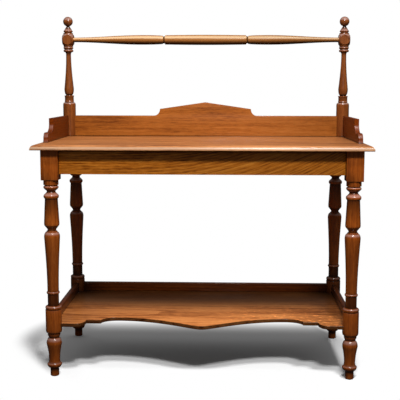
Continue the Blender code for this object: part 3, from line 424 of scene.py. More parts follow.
def hollowness(profile):
    """For each point of a turned outline, from -1 on a crest to 1 in a quirk: where crests are rubbed paler
    and quirks get painted shade.
    """
    reach = (0.002, 0.004, 0.006)
    full = 0.0026
    along = [0.0]
    for (radius_0, height_0), (radius_1, height_1) in zip(profile, profile[1:]):
        along.append(along[-1] + math.hypot(radius_1 - radius_0, height_1 - height_0))

    def radius_at(distance):
        for index in range(len(along) - 1):
            if distance <= along[index + 1]:
                span = max(along[index + 1] - along[index], WELD)
                share = max(distance - along[index], 0.0) / span
                return profile[index][0] + (profile[index + 1][0] - profile[index][0]) * share
        return profile[-1][0]

    values = []
    for distance, (radius, _) in zip(along, profile):
        nearby = [radius_at(distance + sign * gap) for gap in reach for sign in (-1, 1)]
        values.append(max(-1.0, min(1.0, (sum(nearby) / len(nearby) - radius) / full)))
    return values


def sharp_edges(work):
    """The edges that show as edges."""
    return [edge for edge in work.edges if edge.is_manifold and edge.calc_face_angle() > SMOOTH_ANGLE]


def ease(work, edges, width, steps):
    """Round edges over."""
    bmesh.ops.bevel(
        work, geom=edges, offset=width, segments=steps, profile=0.5, affect="EDGES", material=-1,
        clamp_overlap=True,
    )


def lathe(profile):
    """Spin an outline about Z and take the sharpness off its edges."""
    work = bmesh.new()
    mark = work.verts.layers.float.new("hollow")
    last = None
    for (radius, height), value in zip(profile, hollowness(profile)):
        point = work.verts.new((radius, 0.0, height))
        point[mark] = value
        if last:
            work.edges.new((last, point))
        last = point
    bmesh.ops.spin(
        work, geom=work.verts[:] + work.edges[:], cent=(0.0, 0.0, 0.0), axis=(0.0, 0.0, 1.0),
        angle=2 * math.pi, steps=TURN_STEPS, use_merge=True,
    )
    bmesh.ops.remove_doubles(work, verts=work.verts, dist=WELD)
    bmesh.ops.recalc_face_normals(work, faces=work.faces)
    ease(work, sharp_edges(work), TURN_ARRIS, 2)
    bmesh.ops.dissolve_degenerate(work, dist=WELD, edges=work.edges)
    bmesh.ops.recalc_face_normals(work, faces=work.faces)
    return work


def block(low, high, arris=0.0):
    """A squared block between two corners, with its edges eased."""
    low, high = Vector(low), Vector(high)
    work = bmesh.new()
    bmesh.ops.create_cube(work, size=1.0)
    bmesh.ops.scale(work, vec=high - low, verts=work.verts)
    bmesh.ops.translate(work, vec=(low + high) / 2, verts=work.verts)
    if arris:
        ease(work, work.edges[:], arris, 3)
    return work


def square_on(centre, width, bottom, top, arris):
    """A square block round an upright axis."""
    half = Vector((width / 2, width / 2, 0.0))
    low = centre - half + Vector((0.0, 0.0, bottom))
    high = centre + half + Vector((0.0, 0.0, top))
    return block(low, high, arris)


def cutter_round(low, high):
    """A plain block round a box, with room to spare, for cutting a mortise or a housing."""
    grow = Vector((CLEARANCE, CLEARANCE, CLEARANCE))
    return block(Vector(low) - grow, Vector(high) + grow)


def as_mesh(work, name):
    """Write a bmesh out as a mesh and free it."""
    mesh = bpy.data.meshes.new(name)
    work.to_mesh(mesh)
    work.free()
    return mesh


def worked(work, tools):
    """Join or cut a shape with others, each given as (operation, shape), and give back the mesh."""
    body = bpy.data.objects.new("work", as_mesh(work, "work"))
    bpy.context.scene.collection.objects.link(body)
    helpers = []
    for operation, shape in tools:
        helper = bpy.data.objects.new("tool", as_mesh(shape, "tool"))
        bpy.context.scene.collection.objects.link(helper)
        helpers.append(helper)
        change = body.modifiers.new(operation, "BOOLEAN")
        change.operation = operation
        change.solver = "EXACT"
        change.object = helper
    bpy.context.view_layer.update()
    graph = bpy.context.evaluated_depsgraph_get()
    mesh = bpy.data.meshes.new_from_object(body.evaluated_get(graph))
    for helper in helpers + [body]:
        bpy.data.objects.remove(helper)
    return mesh


def grain_vector(tree, place, along, offset, climb):
    """A place turned so that the grain runs along X, where it may climb towards one end."""
    turn = node(tree, "ShaderNodeMapping")
    turn.inputs["Rotation"].default_value = GRAIN_TURNS[along]
    turn.inputs["Location"].default_value = offset
    plug(tree, place, turn.inputs["Vector"])
    if not climb:
        return turn.outputs["Vector"]
    start, rate = climb
    axes = axes_of(tree, turn.outputs["Vector"])
    past = maths(tree, "MAXIMUM", maths(tree, "SUBTRACT", axes["X"], start), 0.0)
    rise = maths(tree, "MULTIPLY", maths(tree, "POWER", past, 2.0), rate)
    joined = node(tree, "ShaderNodeCombineXYZ")
    plug(tree, axes["X"], joined.inputs["X"])
    plug(tree, axes["Y"], joined.inputs["Y"])
    plug(tree, maths(tree, "SUBTRACT", axes["Z"], rise), joined.inputs["Z"])
    return joined.outputs["Vector"]


def drawn_out(tree, vector, scale):
    """A vector scaled by axis, to draw a pattern out along the grain."""
    made = node(tree, "ShaderNodeMapping")
    made.inputs["Scale"].default_value = scale
    plug(tree, vector, made.inputs["Vector"])
    return made.outputs["Vector"]


def noise(tree, vector, scale, detail, rough):
    """A noise drawn out by axis."""
    made = node(tree, "ShaderNodeTexNoise")
    made.inputs["Scale"].default_value = 1.0
    made.inputs["Detail"].default_value = detail
    made.inputs["Roughness"].default_value = rough
    plug(tree, drawn_out(tree, vector, scale), made.inputs["Vector"])
    return made.outputs


def growth_rings(tree, vector, rings, sway, slope):
    """Rings round the pith, bent by a slow drift and met at a low slope by the saw."""
    centred = node(tree, "ShaderNodeVectorMath", operation="SUBTRACT")
    centred.inputs[1].default_value = (0.5, 0.5, 0.5)
    plug(tree, noise(tree, vector, *DRIFT_NOISE)["Color"], centred.inputs[0])
    bend = node(tree, "ShaderNodeVectorMath", operation="SCALE")
    bend.inputs["Scale"].default_value = sway
    plug(tree, centred.outputs["Vector"], bend.inputs["Vector"])
    bent = node(tree, "ShaderNodeVectorMath", operation="ADD")
    plug(tree, drawn_out(tree, vector, (slope, 1.0, 1.0)), bent.inputs[0])
    plug(tree, bend.outputs["Vector"], bent.inputs[1])
    ring = node(tree, "ShaderNodeTexWave", wave_type="RINGS", rings_direction="X", wave_profile="SAW")
    ring.inputs["Scale"].default_value = rings
    ring.inputs["Distortion"].default_value = RING_WAVER
    ring.inputs["Detail"].default_value = RING_WAVER_DETAIL
    ring.inputs["Detail Scale"].default_value = RING_WAVER_SCALE
    plug(tree, bent.outputs["Vector"], ring.inputs["Vector"])
    return ring.outputs["Fac"]


def wood_colour(tree, tones, patterns):
    """Colour on a ramp of three tones. Each pattern is a value, its range and its shift."""
    tone = 0.5
    for value, (low, high), shift in patterns:
        tone = maths(tree, "ADD", tone, ranged(tree, value, low, high, -shift, shift))
    ramp = node(tree, "ShaderNodeValToRGB")
    ramp.color_ramp.elements.new(0.5)
    for element, place, colour in zip(ramp.color_ramp.elements, TONE_PLACES, tones):
        element.position = place
        element.color = (*colour, 1.0)
    plug(tree, tone, ramp.inputs["Fac"])
    return ramp.outputs["Color"]


def darkened_by_place(tree, shade, place, shade_ramp, shaded_lines, dark_spots):
    """Darken a shade value towards one end of an axis, along lines and round points. Mostly painted shade,
    at ends, joins and corners that get less light.
    """
    axes = axes_of(tree, place)
    kept = []
    if shade_ramp:
        axis, start, stop, share = shade_ramp
        kept.append(ranged(tree, axes[axis], start, stop, 1.0, share, "SMOOTHSTEP"))
    for axis, line, reach, share in shaded_lines:
        gap = maths(tree, "ABSOLUTE", maths(tree, "SUBTRACT", axes[axis], line))
        kept.append(ranged(tree, gap, 0.0, reach, share, 1.0, "SMOOTHSTEP"))
    for point, reach, share in dark_spots:
        away = node(tree, "ShaderNodeVectorMath", operation="DISTANCE")
        away.inputs[1].default_value = point
        plug(tree, place, away.inputs[0])
        kept.append(ranged(tree, away.outputs["Value"], 0.0, reach, share, 1.0, "SMOOTHSTEP"))
    for share_kept in kept:
        shade = maths(tree, "MULTIPLY", shade, share_kept)
    return shade


def scuffed(tree, shade, place, vector, scuffs):
    """Scrape a shade pale in short marks, more towards the stop of each axis given."""
    axes = axes_of(tree, place)
    worn = ranged(tree, noise(tree, vector, *SCUFF_NOISE)["Fac"], *SCUFF_EDGE, 0.0, SCUFF_PALE)
    for axis, start, stop in scuffs:
        worn = maths(tree, "MULTIPLY", worn, ranged(tree, axes[axis], start, stop, 0.0, 1.0))
    return maths(tree, "ADD", shade, worn)


def highlighted(tree, colour, highlight_tint, share, rise, lean, hollow):
    """Paint a highlight into a colour where the surface leans up to the light, but not in the quirks."""
    near, far = HIGHLIGHT_BAND
    highlight = ranged(tree, rise, lean - far, lean - near, 0.0, share, "SMOOTHSTEP")
    falling = ranged(tree, rise, lean + near, lean + far, 1.0, 0.0, "SMOOTHSTEP")
    highlight = maths(tree, "MULTIPLY", highlight, falling)
    highlight = maths(tree, "MULTIPLY", highlight, ranged(tree, hollow, 0.0, HIGHLIGHT_QUIRK, 1.0, 0.0))
    lightened = node(tree, "ShaderNodeMix", data_type="RGBA")
    plug(tree, highlight, lightened.inputs["Factor"])
    plug(tree, colour, lightened.inputs["A"])
    lightened.inputs["B"].default_value = (*highlight_tint, 1.0)
    return lightened.outputs["Result"]


def polished_wood(
    name, along, tones, offset=(0.0, 0.0, 0.0), rings=34.0, figure=0.17, sway=0.02, slope=0.10, gloss=0.8,
    clouds=0.24, streaks=0.24, flecks=0.20, pores=0.38, climb=None, shade_ramp=None, shaded_lines=(), dark_spots=(),
    edge_shade=None, scuffs=(), painted_light=None,
):
    """French-polished wood with its grain along an axis: figure, streaks and pores, then wear, scuffs, and
    painted shade and highlights.
    """
    material = bpy.data.materials.new(name)
    material.use_nodes = True
    tree = material.node_tree
    shader = tree.nodes["Principled BSDF"]
    coords = node(tree, "ShaderNodeTexCoord").outputs
    place = coords["Object"]
    rise = axes_of(tree, coords["Normal"])["Z"]
    hollow = node(tree, "ShaderNodeAttribute", attribute_name="hollow").outputs["Fac"]

    # Tone from dark to pale, by the growth of the tree
    vector = grain_vector(tree, place, along, offset, climb)
    ring = growth_rings(tree, vector, rings, sway, slope)
    cloud = noise(tree, vector, *CLOUD_NOISE)["Fac"]
    streak = noise(tree, vector, *STREAK_NOISE)["Fac"]
    fleck = noise(tree, vector, *FLECK_NOISE)["Fac"]
    pore = noise(tree, vector, *PORE_NOISE)["Fac"]
    colour = wood_colour(tree, tones, (
        (cloud, NOISE_SPREAD, clouds),
        (ring, (0.0, 1.0), figure),
        (streak, NOISE_SPREAD, streaks),
        (fleck, NOISE_SPREAD, flecks),
    ))

    # Dark pores, crests rubbed paler, painted shade in the quirks and at the places asked for, scuffs, and
    # painted highlights
    shade = ranged(tree, pore, *PORE_EDGE, 1.0, 1.0 - pores)
    shade = maths(tree, "MULTIPLY", shade, ranged(tree, hollow, -1.0, 0.0, CREST_PALE, 1.0))
    shade = maths(tree, "MULTIPLY", shade, ranged(tree, hollow, 0.0, QUIRK_DEPTH, 1.0, QUIRK_SHADE))
    shade = darkened_by_place(tree, shade, place, shade_ramp, shaded_lines, dark_spots)
    if scuffs:
        shade = scuffed(tree, shade, place, vector, scuffs)
    # Painted shade on faces that turn away from up, such as the top's nose and the shelf's edge
    if edge_shade:
        shade = maths(tree, "MULTIPLY", shade, ranged(tree, rise, *EDGE_TILT, edge_shade, 1.0))
    if painted_light:
        # Painted shade on the undersides, and a painted highlight on crests that lean up
        highlight_tint, share, underside_shade, lean = painted_light
        shade = maths(tree, "MULTIPLY", shade, ranged(tree, rise, UNDERSIDE_TILT, 0.0, underside_shade, 1.0))
        colour = highlighted(tree, colour, highlight_tint, share, rise, lean, hollow)
    darken = node(tree, "ShaderNodeMix", data_type="RGBA", blend_type="MULTIPLY")
    darken.inputs["Factor"].default_value = 1.0
    plug(tree, colour, darken.inputs["A"])
    plug(tree, shade, darken.inputs["B"])
    plug(tree, darken.outputs["Result"], shader.inputs["Base Color"])

    # Polish, which is duller on the pale streaks and sinks in the pores
    plug(tree, ranged(tree, streak, *POLISH_SPREAD, *POLISH_ROUGHNESS), shader.inputs["Roughness"])
    sunk = ranged(tree, pore, *PORE_EDGE, 0.0, PORE_DEPTH)
    relief = node(tree, "ShaderNodeBump")
    relief.inputs["Strength"].default_value = RELIEF_STRENGTH
    relief.inputs["Distance"].default_value = RELIEF_DEPTH
    plug(tree, maths(tree, "SUBTRACT", streak, sunk), relief.inputs["Height"])
    plug(tree, relief.outputs["Normal"], shader.inputs["Normal"])
    shader.inputs["Specular IOR Level"].default_value = WOOD_SPECULAR
    shader.inputs["Coat Weight"].default_value = gloss
    shader.inputs["Coat Roughness"].default_value = POLISH_COAT_ROUGHNESS
    shader.inputs["Coat IOR"].default_value = POLISH_COAT_IOR
    return material


def fit_piece(node_name, mesh, material):
    """Put a finished mesh in the place of a CAD node, with its finish."""
    mesh.name = node_name + "_finished"
    mesh.materials.clear()
    mesh.materials.append(material)
    mesh.shade_smooth()
    mesh.set_sharp_from_angle(angle=SMOOTH_ANGLE)
    piece = bpy.data.objects.new(node_name + "_finished", mesh)
    bpy.context.scene.collection.objects.link(piece)
    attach(piece, "root")
    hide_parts(node_name)


def leg_outline():
    """The leg below its block, with a long taper between the shoulder and the ring above the drum."""
    turning = Turning(LEG_BLOCK_BOTTOM + TURN_SINK, LEG_NECK[0])
    turning.run(LEG_NECK[0], TURN_SINK + LEG_NECK[1])
    turning.step(LEG_QUIRK[0])
    turning.run(*LEG_QUIRK)
    turning.bead(*LEG_UPPER_BEAD, LEG_COVE_LIP_RADIUS)
    turning.ogee(*LEG_COVE)
    turning.ogee(*LEG_LOWER_BEAD)
    turning.arc(*LEG_VASE_NECK, "upright")
    turning.run(*LEG_VASE)
    turning.arc(*LEG_VASE_BASE, "upright")
    turning.run(*LEG_WAIST_TAPER)
    turning.run(*LEG_WAIST)
    turning.step(LEG_COLLAR[0])
    turning.run(*LEG_COLLAR)
    turning.arc(*LEG_SHOULDER, "level")
    turning.sweep(LEG_TAPER_RADIUS, turning.points[-1][1] - LEG_RING_TOP, LEG_TAPER_STEPS)
    turning.bead(*LEG_RING, LEG_SHANK[0])
    turning.run(*LEG_SHANK)
    turning.bead(*LEG_DRUM_BEAD, LEG_GROOVE[0])
    turning.run(*LEG_GROOVE)
    turning.step(LEG_DRUM[0])
    turning.run(*LEG_DRUM)
    turning.arc(*LEG_DRUM_ROUND, "upright")
    turning.step(LEG_FILLET[0])
    turning.run(*LEG_FILLET)
    turning.arc(*LEG_DRUM_NECK, "upright")
    turning.arc(*LEG_BULB, "level")
    turning.sweep(*LEG_ANKLE)
    turning.arc(*LEG_FOOT_RING, "upright")
    turning.arc(*LEG_FOOT_CUP, "upright")
    turning.run(*LEG_STUB)
    turning.run(*LEG_STUB_END)
    return turning.finish()


for side, x_sign in SIDES.items():
    for end, leg_y in LEG_Y.items():
        centre = Vector((x_sign * LEG_X, leg_y, 0.0))
        turned_leg = lathe(leg_outline())
        bmesh.ops.translate(turned_leg, vec=centre, verts=turned_leg.verts)
        square = square_on(centre, LEG_BLOCK, LEG_BLOCK_BOTTOM, LEG_BLOCK_TOP, LEG_BLOCK_ARRIS)
        tools = [("UNION", square)]
        across, upright = APRON_SHOULDERS
        for apron, inset in (
            (f"apron_{end}", Vector((0.0, across, upright))),
            (f"apron_{side}", Vector((across, 0.0, upright))),
        ):
            low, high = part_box(apron)
            tools.append(("DIFFERENCE", cutter_round(low + inset, high - inset)))
        housed = [f"stretcher_{side}"] + (["stretcher_back"] if end == "back" else [])
        for stretcher in housed:
            tools.append(("DIFFERENCE", cutter_round(*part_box(stretcher))))
        # Darker towards the foot, painted shade round the back legs, painted highlights on crests that lean
        # up and painted shade beneath
        wood = polished_wood(
            f"mahogany_leg_{end}_{side}", "Z", MAHOGANY, (0.0, 0.31 * x_sign, LEG_GRAIN_SHIFT[end]),
            **TURNED_GRAIN, shade_ramp=("Z", *LEG_DARKER_SPAN, LEG_DARKER_FOOT[end]),
            dark_spots=BACK_CORNER_SHADE if end == "back" else (), painted_light=(PINK_HIGHLIGHT, 0.45, 0.45, 0.55),
        )
        fit_piece(f"leg_{end}_{side}", worked(turned_leg, tools), wood)


# Aprons
# Four plain boards between the leg blocks, set back from their faces and tenoned into them. The front and
# back ones are of showy golden wood, and so is the top that they carry.
GOLD = ((0.220, 0.052, 0.002), (0.550, 0.162, 0.011), (0.720, 0.250, 0.026))
BOARD_ARRIS = 0.0007
FLAT_ANGLE = math.radians(1)
TOP_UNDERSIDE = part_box("top_board")[0].z
BLOCK_INSIDE = LEG_X - LEG_BLOCK / 2
APRON_GRAIN_SHIFT = {"front": 0.0, "back": 0.6}
APRON_CLIMB_START = -0.22
APRON_CLIMB_RATE = 0.42
# Painted shade along the aprons' top edge under the overhang, and dark lines at the leg blocks, partly dark
# joints and partly painted shade
APRON_SHADE_LINES = (
    ("Z", TOP_UNDERSIDE, 0.014, 0.05),
    ("X", -BLOCK_INSIDE, 0.004, 0.25),
    ("X", BLOCK_INSIDE, 0.004, 0.25),
)


def eased_copy(node_name, arris):
    """A copy of a CAD board with its sharp edges taken off, as glass paper leaves them."""
    work = bmesh.new()
    work.from_mesh(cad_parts[node_name].data)
    bmesh.ops.remove_doubles(work, verts=work.verts, dist=WELD)
    bmesh.ops.dissolve_limit(work, angle_limit=FLAT_ANGLE, verts=work.verts, edges=work.edges)
    ease(work, sharp_edges(work), arris, 2)
    return as_mesh(work, node_name)


for end, shift in APRON_GRAIN_SHIFT.items():
    # Painted shade towards the right end, under the overhang and at the leg blocks
    wood = polished_wood(
        f"mahogany_apron_{end}", "X", GOLD, (shift, 0.19, -0.62), rings=42.0, figure=0.24, sway=0.022,
        streaks=0.34, flecks=0.34, climb=(APRON_CLIMB_START + shift, APRON_CLIMB_RATE),
        shade_ramp=("X", -0.34, 0.10, 0.76), shaded_lines=APRON_SHADE_LINES,
    )
    fit_piece(f"apron_{end}", eased_copy(f"apron_{end}", BOARD_ARRIS), wood)
for side, x_sign in SIDES.items():
    wood = polished_wood(f"mahogany_apron_{side}", "Y", MAHOGANY, (0.3, 0.4 * x_sign, 0.0))
    fit_piece(f"apron_{side}", eased_copy(f"apron_{side}", BOARD_ARRIS), wood)


# Stretchers
# Three boards on edge, let into the drums of the legs and grooved along the inside for the shelf. They
# are of darker wood than the shelf, their tones also hold painted shade, and there is more round the back
# legs.
DARK = ((0.038, 0.006, 0.001), (0.094, 0.018, 0.001), (0.165, 0.038, 0.004))
STRETCHER_ARRIS = 0.0015
for stretcher, along, offset in (
    ("stretcher_left", "Y", (0.2, 0.5, 0.1)),
    ("stretcher_right", "Y", (0.9, -0.5, 0.1)),
    ("stretcher_back", "X", (0.4, 0.2, 0.3)),
):
    wood = polished_wood(f"mahogany_{stretcher}", along, DARK, offset, dark_spots=BACK_CORNER_SHADE)
    fit_piece(stretcher, eased_copy(stretcher, STRETCHER_ARRIS), wood)


# Shelf
# One thin board in the grooves of the stretchers, scooped round the drums. Its front is sawn to a
# serpentine line with a bow in the middle, and its edge is rounded over.
shelf_low, shelf_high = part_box("shelf")
SHELF_TOP = shelf_high.z
SHELF_THICKNESS = shelf_high.z - shelf_low.z
SHELF_ROUND = 0.002
SHELF_X = shelf_high.x
SHELF_BACK_Y = shelf_high.y
SHELF_BOW_Y = shelf_low.y
SHELF_LUG_Y = -0.230
SHELF_FLAT_Y = -0.186
SHELF_DEEP_Y = -0.150
SHELF_LUG_X = 0.405
SHELF_FLAT_END_X = 0.378
SHELF_FLAT_START_X = 0.330
SHELF_DEEP_X = 0.275
SHELF_BOW_TIP_X = 0.036
SHELF_BOW_FLANK_X = 0.132
SHELF_BOW_STEPS = 28
SHELF_CURVE_STEPS = 12
SHELF_TONES = ((0.240, 0.060, 0.010), (0.640, 0.208, 0.050), (0.790, 0.296, 0.082))
# The shelf is darker round the front legs
FRONT_DARK_REACH = 0.28
FRONT_DARK_KEPT = 0.55
FRONT_DARK_SPOTS = tuple(
    ((x_sign * LEG_X, LEG_Y["front"], SHELF_TOP), FRONT_DARK_REACH, FRONT_DARK_KEPT)
    for x_sign in SIDES.values()
)


def curve_points(start, start_handle, end_handle, end, steps):
    """Points of a long curve after its start."""
    points = []
    corners = (start, start_handle, end_handle, end)
    for step in range(1, steps + 1):
        share = step / steps
        rest = 1.0 - share
        weights = (rest ** 3, 3 * rest ** 2 * share, 3 * rest * share ** 2, share ** 3)
        points.append(tuple(sum(w * c[axis] for w, c in zip(weights, corners)) for axis in (0, 1)))
    return points


def level_edges(work, wanted):
    """The level edges of a shape whose middles pass a test."""
    found = []
    for edge in work.edges:
        first, second = (vert.co for vert in edge.verts)
        if abs(first.z - second.z) < WELD and wanted((first + second) / 2):
            found.append(edge)
    return found


def sawn_board(outline, matrix, thickness, arris, steps, eased):
    """Saw a board to an outline, stand it in place and ease those of its edges that are asked for."""
    work = bmesh.new()
    face = work.faces.new([work.verts.new((x, y, -thickness / 2)) for x, y in outline])
    grown = bmesh.ops.extrude_face_region(work, geom=[face])
    raised = [item for item in grown["geom"] if isinstance(item, bmesh.types.BMVert)]
    bmesh.ops.translate(work, vec=(0.0, 0.0, thickness), verts=raised)
    bmesh.ops.recalc_face_normals(work, faces=work.faces)
    ease(work, level_edges(work, eased), arris, steps)
    bmesh.ops.transform(work, matrix=matrix, verts=work.verts)
    return work


bow_tip = (0.0, SHELF_BOW_Y)
deep = (SHELF_DEEP_X, SHELF_DEEP_Y)
flat_end = (SHELF_FLAT_END_X, SHELF_FLAT_Y)
shelf_half = [bow_tip]
shelf_half += curve_points(
    bow_tip, (SHELF_BOW_TIP_X, SHELF_BOW_Y), (SHELF_BOW_FLANK_X, SHELF_DEEP_Y), deep, SHELF_BOW_STEPS
)
shelf_half += quarter(deep, (SHELF_FLAT_START_X, SHELF_FLAT_Y), True, SHELF_CURVE_STEPS)
shelf_half.append(flat_end)
shelf_half += quarter(flat_end, (SHELF_LUG_X, SHELF_LUG_Y), False, SHELF_CURVE_STEPS)
shelf_half += [(SHELF_X, SHELF_LUG_Y), (SHELF_X, SHELF_BACK_Y)]
shelf_outline = shelf_half + [(-x, y) for x, y in reversed(shelf_half[1:])]
shelf_place = Matrix.Translation((0.0, 0.0, SHELF_TOP - SHELF_THICKNESS / 2))
shelf = sawn_board(shelf_outline, shelf_place, SHELF_THICKNESS, SHELF_ROUND, 5, lambda middle: True)
scoop_radius = LEG_DRUM[0] + CLEARANCE
scoops = []
for x_sign in SIDES.values():
    for leg_y in LEG_Y.values():
        scoop = bmesh.new()
        bmesh.ops.create_cone(
            scoop, cap_ends=True, segments=TURN_STEPS, radius1=scoop_radius, radius2=scoop_radius,
            depth=4 * SHELF_THICKNESS,
        )
        bmesh.ops.translate(scoop, vec=(x_sign * LEG_X, leg_y, SHELF_TOP), verts=scoop.verts)
        scoops.append(("DIFFERENCE", scoop))
# Painted shadow of the top over the back of the shelf, painted shade round the back legs and on the edge,
# darker round the front legs, and scuffs
shelf_wood = polished_wood(
    "mahogany_shelf", "X", SHELF_TONES, (0.15, 0.08, -0.10), rings=16.0, figure=0.22, sway=0.06, slope=0.13,
    gloss=0.2, clouds=0.40, streaks=0.50, flecks=0.34, shade_ramp=("Y", -0.20, 0.15, 0.14),
    dark_spots=BACK_CORNER_SHADE + FRONT_DARK_SPOTS, edge_shade=0.16, scuffs=(("X", 0.02, 0.18), ("Y", 0.04, -0.10)),
)
fit_piece("shelf", worked(shelf, scoops), shelf_wood)


# Top
# One wide board, held down on the frame by the glue blocks. A thumbnail moulding runs along its front and
# its ends, with a small arris under it, and the back edge is left square.
top_low, top_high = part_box("top_board")
TOP_MOULDING = 0.0142
TOP_LOWER_ARRIS = 0.002
# The top's tones are paler than the panel's, partly as painted light and sheen from above. The cream is a
# painted highlight for the nose
TOP_TONES = ((0.236, 0.070, 0.018), (0.502, 0.177, 0.051), (0.640, 0.252, 0.083))
CREAM_HIGHLIGHT = (0.92, 0.70, 0.48)
PANEL_FACE_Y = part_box("back_panel")[0].y

top = block(top_low, top_high)
for face_z, width, steps in ((top_high.z, TOP_MOULDING, 12), (top_low.z, TOP_LOWER_ARRIS, 4)):
    rim = level_edges(top, lambda middle: abs(middle.z - face_z) < WELD and middle.y < top_high.y - WELD)
    ease(top, rim, width, steps)
# Painted shade towards the right end, along the foot of the back panel, on the nose and underneath, and a
# painted cream highlight along the nose
top_wood = polished_wood(
    "mahogany_top", "X", TOP_TONES, (0.7, -0.21, -0.70), rings=16.0, figure=0.26, sway=0.06, slope=0.12,
    gloss=0.5, clouds=0.55, streaks=0.75, flecks=0.40, shade_ramp=("X", 0.20, 0.53, 0.83),
    shaded_lines=(("Y", PANEL_FACE_Y, 0.006, 0.30),), edge_shade=0.75, painted_light=(CREAM_HIGHLIGHT, 0.40, 0.5, 0.33),
)
fit_piece("top_board", as_mesh(top, "top"), top_wood)


# Posts
# Two turned posts at the back corners of the top, each on a spigot. A square block near the top, with
# its ends rounded on the lathe, takes the towel rail, and the drum at the foot houses the gallery boards.
post_low, post_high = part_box("post_right")
POST_X = middle_of("post_right").x
POST_Y = middle_of("post_right").y
POST_BLOCK = 0.040
POST_BLOCK_TOP = post_high.z
POST_BLOCK_HEIGHT = 0.048
POST_BLOCK_BOTTOM = POST_BLOCK_TOP - POST_BLOCK_HEIGHT
POST_BLOCK_END_RADIUS = 0.0174
POST_BLOCK_BALL_RADIUS = 0.0264
POST_BLOCK_BALL_STEPS = 28
POST_BLOCK_ARRIS = 0.0012

# Members of the post's turning as (radius, height), from the block down
POST_COLLAR = (0.0155, 0.0015)
POST_UPPER_BEAD = (0.0177, 0.0075)
POST_GROOVE = (0.0145, 0.0020)
POST_LOWER_BEAD = (0.0178, 0.0090)
POST_FLARE_RADIUS = 0.0135
POST_NECK = (0.0089, 0.0085)
POST_VASE = (0.0172, 0.1240)
POST_VASE_BASE = (0.0120, 0.0215)
POST_VASE_BASE_STEPS = 12
POST_ANKLE = (0.0120, 0.0030)
POST_RING_FILLET = (0.0173, 0.0040)
POST_RING_BODY = (0.0162, 0.0135)
POST_RING_FOOT = (0.0173, 0.0060)
POST_RING_FOOT_STEPS = 8
POST_QUIRK = (0.0160, 0.0020)
POST_SHOULDER_RADIUS = 0.0188
POST_SHOULDER = (0.0229, 0.0095)
POST_SPIGOT = (0.0090, 0.0120)
POST_FOOT_Z = post_low.z + POST_SPIGOT[1]
POST_TONES = ((0.092, 0.022, 0.005), (0.215, 0.058, 0.011), (0.320, 0.100, 0.020))
# Painted highlights on crests that lean up, and painted shade beneath
POST_PAINTED_LIGHT = (PINK_HIGHLIGHT, 0.55, 0.40, 0.55)


def post_outline():
    """The post below its block."""
    turning = Turning(POST_BLOCK_BOTTOM + TURN_SINK, POST_COLLAR[0])
    turning.run(POST_COLLAR[0], TURN_SINK + POST_COLLAR[1])
    turning.bead(*POST_UPPER_BEAD, POST_GROOVE[0])
    turning.run(*POST_GROOVE)
    turning.bead(*POST_LOWER_BEAD, POST_FLARE_RADIUS)
    turning.arc(*POST_NECK, "level")
    turning.swell(*POST_VASE)
    turning.arc(*POST_VASE_BASE, "upright", POST_VASE_BASE_STEPS)
    turning.run(*POST_ANKLE)
    turning.step(POST_RING_FILLET[0])
    turning.run(*POST_RING_FILLET)
    turning.step(POST_RING_BODY[0])
    turning.run(*POST_RING_BODY)
    turning.ogee(*POST_RING_FOOT, POST_RING_FOOT_STEPS)
    turning.step(POST_QUIRK[0])
    turning.run(*POST_QUIRK)
    turning.step(POST_SHOULDER_RADIUS)
    turning.arc(*POST_SHOULDER, "level")
    turning.run(POST_SHOULDER[0], turning.points[-1][1] - POST_FOOT_Z)
    turning.step(POST_SPIGOT[0])
    turning.run(*POST_SPIGOT)
    return turning.finish()


def post_block_outline():
    """The ball, with short straight ends, that rounds the square block."""
    end_angle = math.asin(POST_BLOCK_END_RADIUS / POST_BLOCK_BALL_RADIUS)
    straight = POST_BLOCK_HEIGHT / 2 - POST_BLOCK_BALL_RADIUS * math.cos(end_angle)
    turning = Turning(POST_BLOCK_TOP, POST_BLOCK_END_RADIUS)
    turning.run(POST_BLOCK_END_RADIUS, straight)
    turning.ball(POST_BLOCK_BALL_RADIUS, end_angle, math.pi - end_angle, POST_BLOCK_BALL_STEPS)
    turning.run(POST_BLOCK_END_RADIUS, straight)
    return turning.finish()


for side, x_sign in SIDES.items():
    centre = Vector((x_sign * POST_X, POST_Y, 0.0))
    barrel = lathe(post_block_outline())
    bmesh.ops.translate(barrel, vec=centre, verts=barrel.verts)
    square = square_on(
        centre, POST_BLOCK, POST_BLOCK_BOTTOM - TURN_SINK, POST_BLOCK_TOP + TURN_SINK, POST_BLOCK_ARRIS
    )
    head = bmesh.new()
    head.from_mesh(worked(barrel, [("INTERSECT", square)]))
    shaft = lathe(post_outline())
    half_step = Matrix.Rotation(math.pi / TURN_STEPS, 3, "Z")
    bmesh.ops.rotate(shaft, matrix=half_step, verts=shaft.verts)
    bmesh.ops.translate(shaft, vec=centre, verts=shaft.verts)
    tools = [("UNION", head)]
    housing_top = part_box(f"gallery_side_{side}")[1].z
    for housed in ("back_panel", f"gallery_side_{side}"):
        low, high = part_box(housed)
        tools.append(("DIFFERENCE", cutter_round(low, (high.x, high.y, housing_top))))
    # Painted shade round the foot where the post meets the top, painted highlights on crests that lean up
    # and painted shade beneath
    wood = polished_wood(
        f"mahogany_post_{side}", "Z", POST_TONES, (0.2, 0.4 * x_sign, 0.1), **TURNED_GRAIN,
        shaded_lines=(("Z", POST_FOOT_Z, 0.005, 0.35),), painted_light=POST_PAINTED_LIGHT,
    )
    fit_piece(f"post_{side}", worked(shaft, tools), wood)


# Finials
# A turned ball on a thin neck and a cone, with a ringed collar below. Each is one piece of the posts'
# wood, glued by its spigot in the head of a post.
FINIAL_BALL_RADIUS = 0.0174
FINIAL_BALL_STEPS = 30
FINIAL_NECK_RADIUS = 0.0054
FINIAL_CONE = (0.0148, 0.0154)
FINIAL_COLLAR = (0.0165, 0.0065)
FINIAL_BASE = (0.0135, 0.0025)
FINIAL_SPIGOT = (0.0050, 0.0120)
FINIAL_FOOT_Z = POST_BLOCK_TOP + CLEARANCE


